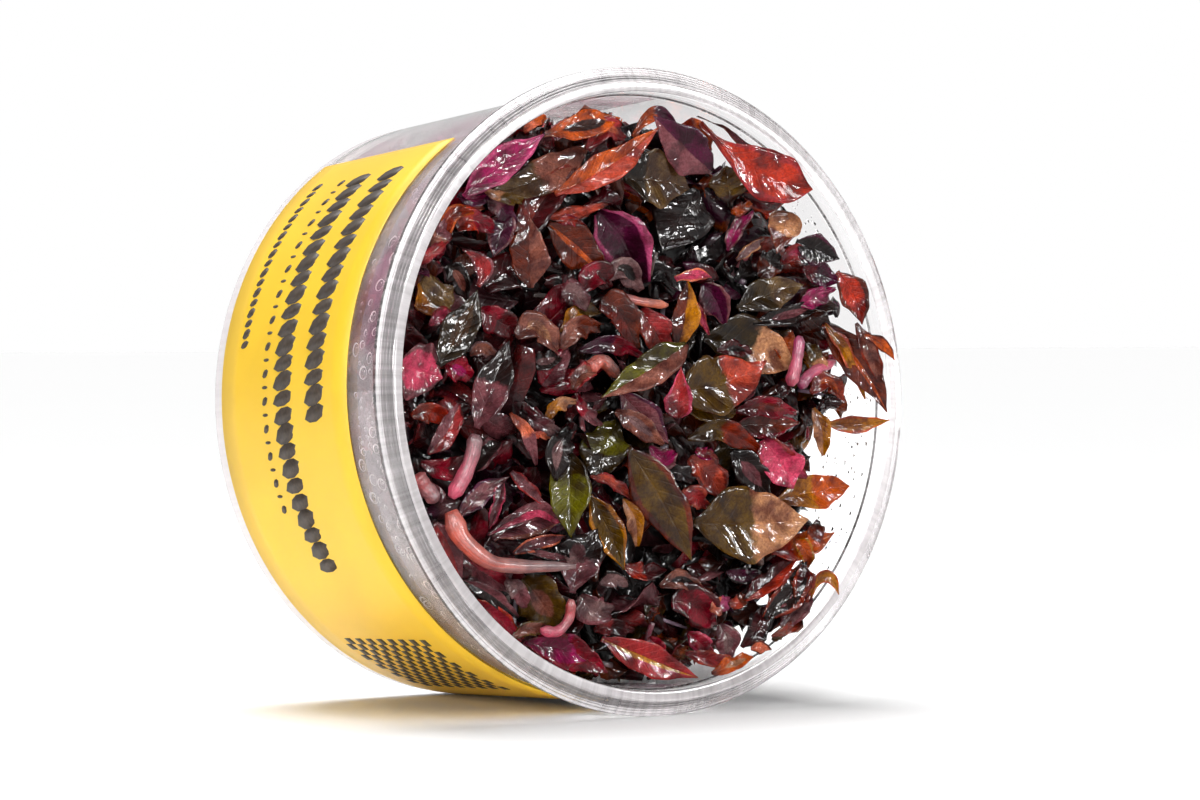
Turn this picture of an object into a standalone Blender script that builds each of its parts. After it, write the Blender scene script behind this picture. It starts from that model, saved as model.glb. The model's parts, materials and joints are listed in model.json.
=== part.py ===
"""A clear round cup of red aquarium plants, lying on its side with its mouth open to the front.

Lengths in the named values and in the tables are millimetres. Places inside the cup are given in
the mouth's own frame: u runs right across the mouth, v runs up it, and depth runs from the plane of
the mouth towards the base. The part's own frame is metres, +Z up, with its origin on the floor.
"""
import math
from dataclasses import dataclass

import bmesh
import bpy
from mathutils import Matrix, Vector

MM = 0.001
FLAT = 0.3                  # air kept between neighbouring pieces

# Cup, turned about the mouth's axis: radii and depths
SIDES = 48
FLANGE_RADIUS = 47.5
FLANGE_FRONT = 1.4
FLANGE_BACK = 2.2
LIP_RADIUS = 45.2
MOUTH_RADIUS = 43.75
LIP_DEPTH = 2.7
BODY_TOP_RADIUS = 45.4
BASE_RADIUS = 44.2
CUP_DEPTH = 52.3
BASE_EDGE = 1.0
INNER_TOP_RADIUS = 43.4
INNER_BASE_RADIUS = 42.7
FLOOR_THICKNESS = 1.5

# Paper label, round the left side only
LABEL_NEAR = 12.6
LABEL_FAR = 48.9
LABEL_THICKNESS = 0.2
LABEL_FIRST_SIDE = 16       # corners of the cup's round, counted from the right, anticlockwise
LABEL_LAST_SIDE = 34

# Nutrient gel on the cup's inner floor, and the tangle of small leaves that fills the cup
GEL_TOP = 44.3
GEL_RADIUS = 42.1
TANGLE_RADIUS = 42.2
TANGLE_BACK = 43.9
TANGLE_DEPTH = 8.4
TANGLE_LUMP = 0.8
TANGLE_RINGS = (4.5, 9.0, 13.5, 18.0, 22.5, 27.0, 31.5, 36.0, 39.8)
TANGLE_SPOKES = 44
TANGLE_MAX_DEPTH = 24.0
POCKET_PLACE = (37.5, -10.0)   # u, v of the hollow beside the right wall
POCKET_DEPTH = 13.0
POCKET_SPREAD = (6.5, 5.5)
CLEAR_BELOW_LEAF = 0.9
CLEAR_REACH = 4.6

# A leaf's blade
BLADE_STATIONS = 7
MIDRIB_HALF_THICKNESS = 0.28
EDGE_HALF_THICKNESS = 0.15
STALK_HALF_WIDTH = 0.55
TIP_HALF_WIDTH = 0.18

# A stem's tube
STEM_SIDES = 6
STEM_STATIONS = 8

# Where the leaves meet the eye: their u is read off a plane this deep, along a slanting line of sight
READ_DEPTH = 3.0
SIGHT_SLOPE = 0.714
SIGHT = Vector((-0.581, 0.03, -0.813)).normalized()

COLOURS = {
    "amber": (0.36, 0.13, 0.03),
    "magenta": (0.33, 0.03, 0.19),
    "grey_olive": (0.17, 0.14, 0.11),
    "salmon": (0.58, 0.22, 0.12),
    "olive": (0.16, 0.12, 0.02),
    "plum": (0.16, 0.05, 0.13),
    "red_orange": (0.43, 0.08, 0.04),
    "charcoal": (0.05, 0.04, 0.05),
    "tan": (0.52, 0.30, 0.16),
    "maroon": (0.12, 0.015, 0.03),
    "pink": (0.55, 0.17, 0.22),
    "green": (0.17, 0.19, 0.02),
    "mauve": (0.26, 0.16, 0.19),
    "brown": (0.22, 0.08, 0.03),
    "yellow_olive": (0.42, 0.26, 0.03),
}


@dataclass
class Leaf:
    """One large leaf, from its stalk to its point, as (u, v, depth)."""
    name: str
    colour: str
    base: tuple
    tip: tuple
    width: float
    bow: tuple = (0.0, 0.0, 0.0)     # how far the blade's middle stands off the straight line
    fold: float = 12.0               # degrees that each half rises from the midrib
    roll: float = 0.0                # degrees that the blade is turned about its midrib
    twist: float = 0.0               # degrees that it turns further by the point
    widest: float = 0.45             # place of the greatest width, 0 at the stalk and 1 at the point


@dataclass
class Stem:
    """One stem, through points (u, v, depth), with its radius at both ends."""
    name: str
    colour: str
    route: tuple
    radii: tuple


LEAVES = (
    Leaf("leaf_amber_top", "amber", (-16.5, 37.6, 5.6), (-2.3, 40.3, 4.6), 4.4, widest=0.55),
    Leaf("leaf_magenta_top", "magenta", (-30.4, 28.2, 4.4), (-16.0, 37.4, 3.4), 5.0, bow=(-0.2, 0.2, 0.0)),
    Leaf("leaf_grey_olive_top", "grey_olive", (-8.0, 36.6, 7.6), (-27.3, 28.6, 6.0),
         5.6, bow=(0.6, -1.2, 0.0)),
    Leaf("leaf_salmon_folded", "salmon", (-14.5, 28.9, 4.6), (4.6, 38.8, 2.4),
         5.0, bow=(0.4, -0.8, 0.0), fold=22.0),
    Leaf("leaf_olive_glossy", "grey_olive", (-2.0, 31.4, 6.4), (9.9, 30.1, 5.0), 8.6, bow=(0.0, 0.6, 0.0)),
    Leaf("leaf_plum_folded", "plum", (14.2, 32.6, 3.6), (3.8, 40.6, 3.0),
         7.0, bow=(0.2, -0.4, 0.0), fold=18.0),
    Leaf("leaf_curled_arch", "amber", (0.2, 37.6, 5.2), (8.2, 39.6, 5.0),
         2.4, bow=(-0.6, 2.5, -0.6), widest=0.5),
    Leaf("leaf_red_orange_large", "red_orange", (12.4, 39.9, 4.0), (32.8, 29.9, -0.4), 8.0,
         bow=(-0.6, -1.7, 0.0), widest=0.66, fold=8.0),
    Leaf("leaf_olive_round", "olive", (17.6, 27.6, 6.6), (17.0, 33.8, 5.6), 6.2, widest=0.6),
    Leaf("leaf_charcoal_wet", "charcoal", (11.4, 30.4, 7.8), (4.6, 20.8, 7.0), 9.0, fold=6.0),
    Leaf("leaf_tan_small", "tan", (28.4, 26.8, 3.4), (25.7, 20.4, 2.4), 5.4, widest=0.3),
    Leaf("leaf_slate_right", "charcoal", (29.6, 22.4, 4.2), (37.6, 19.6, 1.4), 5.0),
    Leaf("leaf_plum_right", "plum", (30.6, 18.4, 5.0), (38.0, 16.2, 2.6), 3.8),
    Leaf("leaf_red_orange_right", "red_orange", (37.0, 17.6, 1.2), (41.4, 9.6, 0.2),
         4.8, bow=(0.9, 0.3, 0.0)),
    Leaf("leaf_moss_dark", "olive", (18.0, 12.2, 4.8), (30.6, 15.8, 3.0), 5.4, bow=(0.0, 0.5, 0.0)),
    Leaf("leaf_olive_upright", "olive", (6.3, 6.2, 4.8), (8.9, 16.4, 3.0),
         4.4, bow=(0.4, 0.0, -0.4), fold=20.0),
    Leaf("leaf_pink_tip", "pink", (6.6, 16.4, 1.4), (13.2, 16.7, 1.6), 2.0, bow=(0.2, 0.5, -0.3)),
    Leaf("leaf_green_left", "green", (8.2, 6.9, 2.8), (-7.6, -0.8, 3.4),
         5.4, bow=(-0.4, -0.6, 0.0), widest=0.36),
    Leaf("leaf_olive_salmon_tip", "olive", (6.6, 0.2, 2.8), (22.9, 4.3, 1.4),
         9.2, bow=(0.2, -1.2, 0.0), widest=0.36),
    Leaf("leaf_olive_tan_back", "olive", (11.4, 8.0, 6.6), (28.8, 3.4, 5.0), 9.0, bow=(0.3, 0.8, 0.0)),
    Leaf("leaf_pink_triangle", "pink", (6.0, -4.0, 1.4), (7.0, 3.4, 0.8), 4.4, widest=0.25),
    Leaf("leaf_mauve_centre", "mauve", (-4.2, 0.0, 5.2), (4.2, -7.6, 4.6), 5.4),
    Leaf("leaf_green_bright", "green", (-4.8, -4.2, 7.4), (-8.6, -13.6, 6.4), 7.2, bow=(-1.0, 0.2, 0.0)),
    Leaf("leaf_green_boat", "green", (-13.7, -8.4, 4.0), (-14.0, -21.0, 2.4), 7.0, fold=28.0),
    Leaf("leaf_olive_long", "olive", (-3.2, -8.2, 3.6), (7.5, -25.0, 1.6),
         7.4, bow=(0.5, 0.4, 0.0), fold=10.0),
    Leaf("leaf_olive_narrow", "olive", (-10.4, -15.0, 6.4), (-4.7, -26.0, 4.2), 4.8, bow=(0.4, 0.2, 0.0)),
    Leaf("leaf_olive_large", "olive", (8.2, -19.4, 3.6), (29.6, -19.6, 1.0),
         11.2, bow=(0.0, -0.4, 0.0), fold=7.0),
    Leaf("leaf_rust_pointed", "red_orange", (22.6, -24.2, 4.6), (34.6, -21.7, 3.0),
         4.2, bow=(0.2, -0.6, 0.0)),
    Leaf("leaf_pink_hanging", "pink", (23.6, -6.9, 3.6), (27.0, -14.9, 2.2),
         6.6, bow=(-0.3, 0.0, 0.0), widest=0.55),
    Leaf("leaf_amber_right", "amber", (22.6, -17.0, 5.6), (38.0, -14.7, 4.6),
         5.6, bow=(0.4, 0.4, 0.0), widest=0.55),
    Leaf("leaf_curled_strip", "yellow_olive", (28.4, -32.6, 1.4), (34.6, -31.0, -1.6), 2.2,
         bow=(0.6, 3.6, 0.0), widest=0.6),
    Leaf("leaf_brown_right", "brown", (34.0, 9.8, 3.0), (45.4, -3.8, -0.8),
         5.8, bow=(1.0, 0.8, 0.0), fold=16.0),
    Leaf("leaf_hooked_tip", "amber", (41.6, 7.8, -1.8), (47.2, 4.0, -2.2), 2.0, bow=(0.5, 0.5, 0.0)),
    Leaf("leaf_yellow_olive_right", "yellow_olive", (33.6, -5.2, 2.4), (45.8, -5.0, -0.8),
         2.8, bow=(0.0, -0.4, 0.0)),
    Leaf("leaf_red_brown_wet", "brown", (16.6, -5.2, 5.8), (28.8, -5.0, 4.0), 4.4),
    Leaf("leaf_pink_left", "pink", (-42.8, 4.4, 6.6), (-35.2, 2.3, 4.2), 8.6, fold=4.0),
    Leaf("leaf_pink_edged", "grey_olive", (-35.8, 4.0, 3.4), (-28.6, 14.7, 2.4),
         5.4, bow=(0.5, -0.3, 0.0), fold=14.0),
    Leaf("leaf_grey_spear", "mauve", (-29.6, -5.0, 2.4), (-23.4, 7.4, 2.0), 5.6, bow=(-0.3, 0.0, -0.4)),
    Leaf("leaf_pink_twist", "pink", (-28.6, 15.4, 4.6), (-31.0, 20.6, 4.8), 3.0, bow=(2.2, 0.5, 0.0)),
    Leaf("leaf_olive_left", "yellow_olive", (-39.4, 12.4, 6.6), (-32.8, 15.4, 6.0), 6.8, fold=18.0),
    Leaf("leaf_grey_pink_upper", "mauve", (-19.4, 15.2, 4.2), (-19.0, 25.3, 3.6), 6.0, bow=(-0.4, 0.0, -0.3)),
    Leaf("leaf_red_brown_gloss", "brown", (-16.0, 24.8, 6.8), (-6.0, 17.0, 5.4), 6.2, bow=(0.4, 0.3, 0.0)),
    Leaf("leaf_purple_upper", "plum", (-22.8, 26.6, 7.0), (-25.8, 19.8, 6.6), 4.4),
    Leaf("leaf_mauve_narrow", "mauve", (-33.6, -17.7, 5.4), (-24.4, -12.0, 4.4), 3.2, bow=(-0.4, 0.5, 0.0)),
    Leaf("leaf_mauve_broad", "mauve", (-27.6, -20.8, 5.0), (-14.8, -18.6, 5.4), 4.6, bow=(0.2, 1.2, 0.0)),
    Leaf("leaf_spoon_grey", "mauve", (-14.1, -29.0, 2.6), (-9.2, -19.9, 2.4),
         6.6, bow=(-0.6, 0.3, 0.0), widest=0.5),
    Leaf("leaf_crimson_low", "magenta", (-19.2, -35.0, 5.2), (-8.4, -40.8, 4.6), 4.8),
    Leaf("leaf_salmon_low", "salmon", (-9.2, -35.8, 3.6), (7.8, -42.2, 0.8), 5.0, bow=(0.0, -0.2, 0.0)),
)

STEMS = (
    Stem("stem_left_pink", "pink",
         ((-29.9, -5.9, 2.4), (-30.6, -8.8, 2.4), (-32.3, -12.0, 2.8), (-34.4, -14.7, 3.2)), (1.1, 1.1)),
    Stem("stem_left_wall", "salmon", ((-40.4, -11.4, 5.2), (-38.8, -13.2, 4.9), (-37.0, -15.2, 4.6)),
         (1.2, 1.1)),
    Stem("stem_left_salmon", "salmon",
         ((-34.6, -16.7, 3.4), (-33.0, -20.5, 2.4), (-28.6, -23.9, 1.8),
          (-24.0, -24.8, 1.8), (-19.0, -25.0, 1.4), (-13.4, -25.2, 0.6)), (1.6, 0.6)),
    Stem("stem_spoon_leaf", "pink",
         ((-14.4, -29.9, 2.8), (-14.9, -32.6, 3.2), (-17.0, -34.4, 3.4), (-19.8, -34.2, 3.2)), (0.7, 0.8)),
    Stem("stem_right_magenta", "magenta", ((29.5, 8.0, 3.2), (28.7, 4.2, 2.8), (27.4, 0.6, 3.0)), (0.8, 1.0)),
    Stem("stem_right_branch", "magenta", ((29.2, 0.4, 3.0), (31.6, 2.5, 3.2), (36.0, 4.2, 4.2)), (0.9, 0.7)),
    Stem("stem_centre_salmon", "salmon", ((-9.6, 3.4, 4.8), (-7.2, 4.6, 5.0), (-4.4, 2.4, 5.6)), (1.1, 0.9)),
    Stem("stem_upper_pink", "pink", ((-4.6, 14.2, 5.2), (0.2, 13.3, 4.8), (5.0, 12.8, 5.0)), (0.7, 0.6)),
)


def half_facet():
    """Half the angle of one of the cup's flat sides."""
    return math.pi / SIDES


def lying_tilt():
    """The angle at which the cup rests on its flange and on the edge of its base."""
    rise = (FLANGE_RADIUS - BASE_RADIUS) * math.cos(half_facet())
    return math.atan(rise / (CUP_DEPTH - BASE_EDGE - FLANGE_BACK))


def mouth_frame():
    """Turns mouth coordinates (u, v, depth) in millimetres into metres, with the cup on the floor."""
    tilt = lying_tilt()
    height = FLANGE_RADIUS * math.cos(half_facet()) * math.cos(tilt) + FLANGE_BACK * math.sin(tilt)
    turn = Matrix(((1, 0, 0, 0),
                   (0, math.sin(tilt), math.cos(tilt), 0),
                   (0, math.cos(tilt), -math.sin(tilt), height),
                   (0, 0, 0, 1)))
    return Matrix.Scale(MM, 4) @ turn


def seen(place):
    """Moves a place read off the reading plane along the line of sight to its own depth."""
    u, v, depth = place
    return Vector((u + SIGHT_SLOPE * (depth - READ_DEPTH), v, depth))


def body_radius(depth):
    """The cup's outer radius behind the flange."""
    part = (depth - FLANGE_BACK) / (CUP_DEPTH - BASE_EDGE - FLANGE_BACK)
    return BODY_TOP_RADIUS + (BASE_RADIUS - BODY_TOP_RADIUS) * part


def side_angle(index):
    """The direction of one corner of the cup's round: a flat side is lowest."""
    return (2 * index + 1) * half_facet()


def on_round(radius, angle, depth):
    """A point at a radius and an angle about the mouth's axis."""
    return Vector((radius * math.cos(angle), radius * math.sin(angle), depth))


def clear_scene():
    """Removes what the scene holds."""
    for item in list(bpy.data.objects):
        bpy.data.objects.remove(item, do_unlink=True)


def finish(name, sections, faces, colour, roughness, alpha=1.0):
    """Makes one closed piece from points in the mouth's frame, with its own material."""
    mesh = bpy.data.meshes.new(name)
    frame = mouth_frame()
    mesh.from_pydata([frame @ point for point in sections], [], faces)
    work = bmesh.new()
    work.from_mesh(mesh)
    bmesh.ops.recalc_face_normals(work, faces=work.faces)
    bmesh.ops.triangulate(work, faces=work.faces)
    work.to_mesh(mesh)
    work.free()
    material = bpy.data.materials.new(name + "_finish")
    material.use_nodes = True
    shader = material.node_tree.nodes["Principled BSDF"]
    shader.inputs["Base Color"].default_value = (*colour, 1.0)
    shader.inputs["Roughness"].default_value = roughness
    shader.inputs["Metallic"].default_value = 0.0
    shader.inputs["Alpha"].default_value = alpha
    mesh.materials.append(material)
    piece = bpy.data.objects.new(name, mesh)
    bpy.context.scene.collection.objects.link(piece)
    return piece


def turned(name, profile, colour, roughness, alpha=1.0):
    """Turns a closed profile of (radius, depth), which starts and ends on the axis."""
    inner = profile[1:-1]
    points = []
    for radius, depth in inner:
        points += [on_round(radius, side_angle(side), depth) for side in range(SIDES)]
    faces = []
    for ring in range(len(inner) - 1):
        for side in range(SIDES):
            after = (side + 1) % SIDES
            low = ring * SIDES
            faces.append((low + side, low + after, low + SIDES + after, low + SIDES + side))
    first = len(points)
    points.append(Vector((0, 0, profile[0][1])))
    points.append(Vector((0, 0, profile[-1][1])))
    last_ring = (len(inner) - 1) * SIDES
    for side in range(SIDES):
        after = (side + 1) % SIDES
        faces.append((first, after, side))
        faces.append((first + 1, last_ring + side, last_ring + after))
    return finish(name, points, faces, colour, roughness, alpha)


def make_cup():
    """The clear cup: base, tapering wall, flange and flat lip, open at the mouth."""
    floor = CUP_DEPTH - FLOOR_THICKNESS
    profile = (
        (0, CUP_DEPTH),
        (BASE_RADIUS - BASE_EDGE, CUP_DEPTH),
        (BASE_RADIUS, CUP_DEPTH - BASE_EDGE),
        (body_radius(FLANGE_BACK + 0.6), FLANGE_BACK + 0.6),
        (FLANGE_RADIUS, FLANGE_BACK),
        (FLANGE_RADIUS, FLANGE_FRONT),
        (LIP_RADIUS, 0),
        (MOUTH_RADIUS, 0),
        (MOUTH_RADIUS - 0.15, LIP_DEPTH - 0.3),
        (INNER_TOP_RADIUS, LIP_DEPTH),
        (INNER_BASE_RADIUS, floor - 0.8),
        (INNER_BASE_RADIUS - 0.8, floor),
        (0, floor),
    )
    return turned("cup", profile, (0.86, 0.88, 0.9), 0.08, 0.25)


def make_label():
    """The paper label: a thin band that follows the cup's left side."""
    points = []
    for side in range(LABEL_FIRST_SIDE, LABEL_LAST_SIDE + 1):
        for depth in (LABEL_NEAR, LABEL_FAR):
            inside = body_radius(depth) + FLAT
            points.append(on_round(inside, side_angle(side), depth))
            points.append(on_round(inside + LABEL_THICKNESS, side_angle(side), depth))
    faces = [(0, 1, 3, 2)]
    for step in range(LABEL_LAST_SIDE - LABEL_FIRST_SIDE):
        near = 4 * step
        for one, two in ((0, 1), (1, 3), (3, 2), (2, 0)):
            faces.append((near + one, near + two, near + 4 + two, near + 4 + one))
    last = len(points) - 4
    faces.append((last, last + 2, last + 3, last + 1))
    return finish("label", points, faces, (0.9, 0.62, 0.06), 0.5)


def make_gel():
    """The disc of nutrient gel on the cup's inner floor."""
    floor = CUP_DEPTH - FLOOR_THICKNESS - FLAT
    profile = (
        (0, floor),
        (GEL_RADIUS - 1.0, floor),
        (GEL_RADIUS, floor - 1.0),
        (GEL_RADIUS, GEL_TOP + 0.5),
        (GEL_RADIUS - 0.5, GEL_TOP),
        (0, GEL_TOP),
    )
    return turned("nutrient_gel", profile, (0.8, 0.72, 0.7), 0.3)


def blade_half_width(leaf, along):
    """The blade's half width, from the stalk at 0 to the point at 1."""
    power = math.log(0.5) / math.log(leaf.widest)
    swell = max(0.0, math.sin(math.pi * along ** power)) ** 0.85
    least = STALK_HALF_WIDTH + (TIP_HALF_WIDTH - STALK_HALF_WIDTH) * along
    return max(least, 0.5 * leaf.width * swell)


def leaf_stations(leaf):
    """The blade's cross-sections: centre, side, normal and half width at each station."""
    base = seen(leaf.base)
    tip = seen(leaf.tip)
    bend = 0.5 * (base + tip) + 2 * Vector(leaf.bow)
    stations = []
    for step in range(BLADE_STATIONS + 1):
        along = step / BLADE_STATIONS
        centre = (1 - along) ** 2 * base + 2 * along * (1 - along) * bend + along ** 2 * tip
        axis = (2 * (1 - along) * (bend - base) + 2 * along * (tip - bend)).normalized()
        side = axis.cross(SIGHT).normalized()
        side = Matrix.Rotation(math.radians(leaf.roll + leaf.twist * along), 3, axis) @ side
        normal = side.cross(axis).normalized()
        stations.append((centre, side, normal, blade_half_width(leaf, along)))
    return stations


def blade_points(leaf):
    """Three points across each station: left edge, midrib and right edge, with the normal there."""
    fold = math.radians(leaf.fold)
    rows = []
    for centre, side, normal, half in leaf_stations(leaf):
        out = half * math.cos(fold)
        rise = half * math.sin(fold)
        low_edge = centre - side * out + normal * rise
        high_edge = centre + side * out + normal * rise
        rows.append((low_edge, centre, high_edge, normal))
    return rows


def make_leaf(leaf):
    """One leaf: a thin folded blade, thickest along its midrib."""
    points = []
    for left, middle, right, normal in blade_points(leaf):
        edge = normal * EDGE_HALF_THICKNESS
        rib = normal * MIDRIB_HALF_THICKNESS
        points += [left + edge, middle + rib, right + edge, right - edge, middle - rib, left - edge]
    faces = []
    for step in range(BLADE_STATIONS):
        low = 6 * step
        for corner in range(6):
            after = (corner + 1) % 6
            faces.append((low + corner, low + after, low + 6 + after, low + 6 + corner))
    end = 6 * BLADE_STATIONS
    faces += [(0, 5, 4, 1), (1, 4, 3, 2)]
    faces += [(end, end + 1, end + 4, end + 5), (end + 1, end + 2, end + 3, end + 4)]
    return finish(leaf.name, points, faces, COLOURS[leaf.colour], 0.25)


def smooth_route(route, stations):
    """Points and directions along a smooth curve through the stem's own points."""
    places = [seen(place) for place in route]
    ends = [2 * places[0] - places[1]] + places + [2 * places[-1] - places[-2]]
    samples = []
    for step in range(stations + 1):
        along = step / stations * (len(places) - 1)
        start = min(int(along), len(places) - 2)
        part = along - start
        a, b, c, d = ends[start:start + 4]
        point = 0.5 * (2 * b + (c - a) * part + (2 * a - 5 * b + 4 * c - d) * part ** 2
                       + (3 * b - a - 3 * c + d) * part ** 3)
        slope = 0.5 * ((c - a) + 2 * (2 * a - 5 * b + 4 * c - d) * part
                       + 3 * (3 * b - a - 3 * c + d) * part ** 2)
        samples.append((point, slope.normalized()))
    return samples


def make_stem(stem):
    """One stem: a round tube that tapers from one end to the other."""
    points = []
    for step, (centre, axis) in enumerate(smooth_route(stem.route, STEM_STATIONS)):
        radius = stem.radii[0] + (stem.radii[1] - stem.radii[0]) * step / STEM_STATIONS
        side = axis.cross(SIGHT).normalized()
        normal = side.cross(axis)
        for corner in range(STEM_SIDES):
            turn = 2 * math.pi * corner / STEM_SIDES
            points.append(centre + side * radius * math.cos(turn) + normal * radius * math.sin(turn))
    faces = []
    for step in range(STEM_STATIONS):
        low = STEM_SIDES * step
        for corner in range(STEM_SIDES):
            after = (corner + 1) % STEM_SIDES
            faces.append((low + corner, low + after, low + STEM_SIDES + after, low + STEM_SIDES + corner))
    faces.append(tuple(range(STEM_SIDES - 1, -1, -1)))
    faces.append(tuple(range(STEM_SIDES * STEM_STATIONS, STEM_SIDES * (STEM_STATIONS + 1))))
    return finish(stem.name, points, faces, COLOURS[stem.colour], 0.3)


def low_points():
    """The places that the tangle stays below: along every leaf and stem."""
    places = []
    for leaf in LEAVES:
        for left, middle, right, normal in blade_points(leaf):
            places += [left, middle, right, 0.5 * (left + middle), 0.5 * (middle + right)]
    for stem in STEMS:
        widest = Vector((0, 0, max(stem.radii)))
        places += [point + widest for point, axis in smooth_route(stem.route, 2 * STEM_STATIONS)]
    return places


def tangle_depth(u, v, places):
    """How deep the tangle's front lies: lumpy, hollow beside the right wall, and clear of each leaf."""
    lumps = math.sin(0.62 * u + 1.3) * math.cos(0.55 * v - 0.4) + 0.6 * math.sin(1.1 * u - 0.9 * v)
    reach = ((u - POCKET_PLACE[0]) / POCKET_SPREAD[0]) ** 2 + ((v - POCKET_PLACE[1]) / POCKET_SPREAD[1]) ** 2
    depth = TANGLE_DEPTH + TANGLE_LUMP * lumps + POCKET_DEPTH * math.exp(-0.5 * reach ** 2)
    for place in places:
        if abs(place.x - u) < CLEAR_REACH and abs(place.y - v) < CLEAR_REACH:
            depth = max(depth, place.z + CLEAR_BELOW_LEAF)
    return min(depth, TANGLE_MAX_DEPTH)


def make_tangle():
    """The mass of small leaves and stems that fills the cup from the gel to just under the large leaves."""
    places = low_points()
    points = [Vector((0, 0, tangle_depth(0, 0, places)))]
    for radius in (*TANGLE_RINGS, TANGLE_RADIUS):
        for spoke in range(TANGLE_SPOKES):
            flat = on_round(radius, 2 * math.pi * spoke / TANGLE_SPOKES, 0)
            points.append(Vector((flat.x, flat.y, tangle_depth(flat.x, flat.y, places))))
    for spoke in range(TANGLE_SPOKES):
        points.append(on_round(TANGLE_RADIUS - 0.4, 2 * math.pi * spoke / TANGLE_SPOKES, TANGLE_BACK))
    points.append(Vector((0, 0, TANGLE_BACK)))
    rings = len(TANGLE_RINGS) + 2
    faces = []
    for spoke in range(TANGLE_SPOKES):
        after = (spoke + 1) % TANGLE_SPOKES
        faces.append((0, 1 + after, 1 + spoke))
        last = 1 + (rings - 1) * TANGLE_SPOKES
        faces.append((len(points) - 1, last + spoke, last + after))
        for ring in range(rings - 1):
            low = 1 + ring * TANGLE_SPOKES
            faces.append((low + spoke, low + after, low + TANGLE_SPOKES + after, low + TANGLE_SPOKES + spoke))
    return finish("leaf_tangle", points, faces, COLOURS["maroon"], 0.4)


def centre_on_floor(pieces):
    """Moves every piece sideways so that the origin is under the middle of the whole."""
    corners = [vertex.co for piece in pieces for vertex in piece.data.vertices]
    middle_x = 0.5 * (min(c.x for c in corners) + max(c.x for c in corners))
    middle_y = 0.5 * (min(c.y for c in corners) + max(c.y for c in corners))
    for piece in pieces:
        piece.data.transform(Matrix.Translation((-middle_x, -middle_y, 0)))


def main():
    """Builds the cup, what is on it and what is in it."""
    clear_scene()
    pieces = [make_cup(), make_label(), make_gel(), make_tangle()]
    pieces += [make_leaf(leaf) for leaf in LEAVES]
    pieces += [make_stem(stem) for stem in STEMS]
    centre_on_floor(pieces)


main()
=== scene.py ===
"""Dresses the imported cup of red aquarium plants: clear cup, paper label, gel, leaves, stems and dew.

Sizes are millimetres in the mouth's own frame unless a name says otherwise: u runs right across the
mouth, v runs up it, and depth runs from the plane of the mouth towards the base. Meshes are metres.
"""
import json
import logging
import math
from dataclasses import dataclass
from enum import Enum

import bmesh
import bpy
import numpy as np
from mathutils import Euler, Matrix, Vector

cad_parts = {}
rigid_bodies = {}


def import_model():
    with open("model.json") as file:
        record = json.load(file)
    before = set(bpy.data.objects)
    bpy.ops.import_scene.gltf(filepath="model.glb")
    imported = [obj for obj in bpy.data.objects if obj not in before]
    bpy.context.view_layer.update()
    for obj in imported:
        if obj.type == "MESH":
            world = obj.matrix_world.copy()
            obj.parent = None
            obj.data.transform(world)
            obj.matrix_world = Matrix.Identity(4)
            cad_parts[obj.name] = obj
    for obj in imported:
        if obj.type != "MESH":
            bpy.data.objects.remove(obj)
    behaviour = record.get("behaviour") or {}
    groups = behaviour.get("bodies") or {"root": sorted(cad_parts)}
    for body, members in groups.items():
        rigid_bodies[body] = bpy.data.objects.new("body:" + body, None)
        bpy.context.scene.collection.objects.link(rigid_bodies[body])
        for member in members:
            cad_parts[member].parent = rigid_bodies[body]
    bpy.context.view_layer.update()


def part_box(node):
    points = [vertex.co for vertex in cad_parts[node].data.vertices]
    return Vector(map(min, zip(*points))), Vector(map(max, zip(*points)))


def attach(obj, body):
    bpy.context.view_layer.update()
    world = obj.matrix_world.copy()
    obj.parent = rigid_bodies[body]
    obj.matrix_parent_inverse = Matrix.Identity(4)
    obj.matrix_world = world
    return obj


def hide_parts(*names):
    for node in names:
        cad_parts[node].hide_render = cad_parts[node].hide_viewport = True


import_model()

LOG = logging.getLogger("plant_cup")
MM = 0.001
BODY = "root"
Colour = tuple[float, float, float]


def srgb(red: int, green: int, blue: int) -> Colour:
    """Turns a screen colour into the linear colour that shaders take.

    Args:
        red: Red, 0 to 255.
        green: Green, 0 to 255.
        blue: Blue, 0 to 255.

    Returns:
        The linear colour.
    """
    def channel(value: int) -> float:
        """One channel in linear light."""
        part = value / 255
        return part / 12.92 if part <= 0.04045 else ((part + 0.055) / 1.055) ** 2.4
    return channel(red), channel(green), channel(blue)


class Tint(Enum):
    """The leaves' and stems' colours, by a gardener's plain words; the tan and the taupe also serve as painted sheen,
    the grey-tan gloss of wet leaves.
    """
    AMBER = srgb(172, 90, 10)
    UMBER = srgb(48, 26, 12)
    RUST = srgb(122, 44, 16)
    MAGENTA = srgb(138, 8, 112)
    ORCHID = srgb(178, 88, 170)
    GREY_OLIVE = srgb(86, 82, 54)
    TAUPE = srgb(124, 92, 90)
    SALMON = srgb(170, 80, 66)
    PEACH = srgb(200, 130, 110)
    OLIVE = srgb(76, 68, 8)
    DARK_OLIVE = srgb(42, 38, 8)
    MOSS = srgb(80, 98, 10)
    PLUM = srgb(66, 14, 64)
    RED_ORANGE = srgb(158, 48, 22)
    ROSE = srgb(140, 44, 56)
    BRICK = srgb(112, 44, 38)
    CHARCOAL = srgb(26, 16, 18)
    SLATE = srgb(112, 104, 124)
    TAN = srgb(168, 148, 122)
    MAROON = srgb(64, 8, 20)
    CRIMSON = srgb(124, 8, 48)
    PINK = srgb(180, 72, 130)
    MAUVE = srgb(108, 74, 98)
    BROWN = srgb(88, 38, 16)
    YELLOW_OLIVE = srgb(158, 124, 12)
    BLACK_RED = srgb(20, 6, 9)


class Marking(Enum):
    """Where a leaf's second colour lies."""
    EDGE = "edge"
    TIP = "tip"
    STALK = "stalk"
    LEFT = "left"
    RIGHT = "right"
    PATCH = "patch"
    STREAK = "streak"


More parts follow.
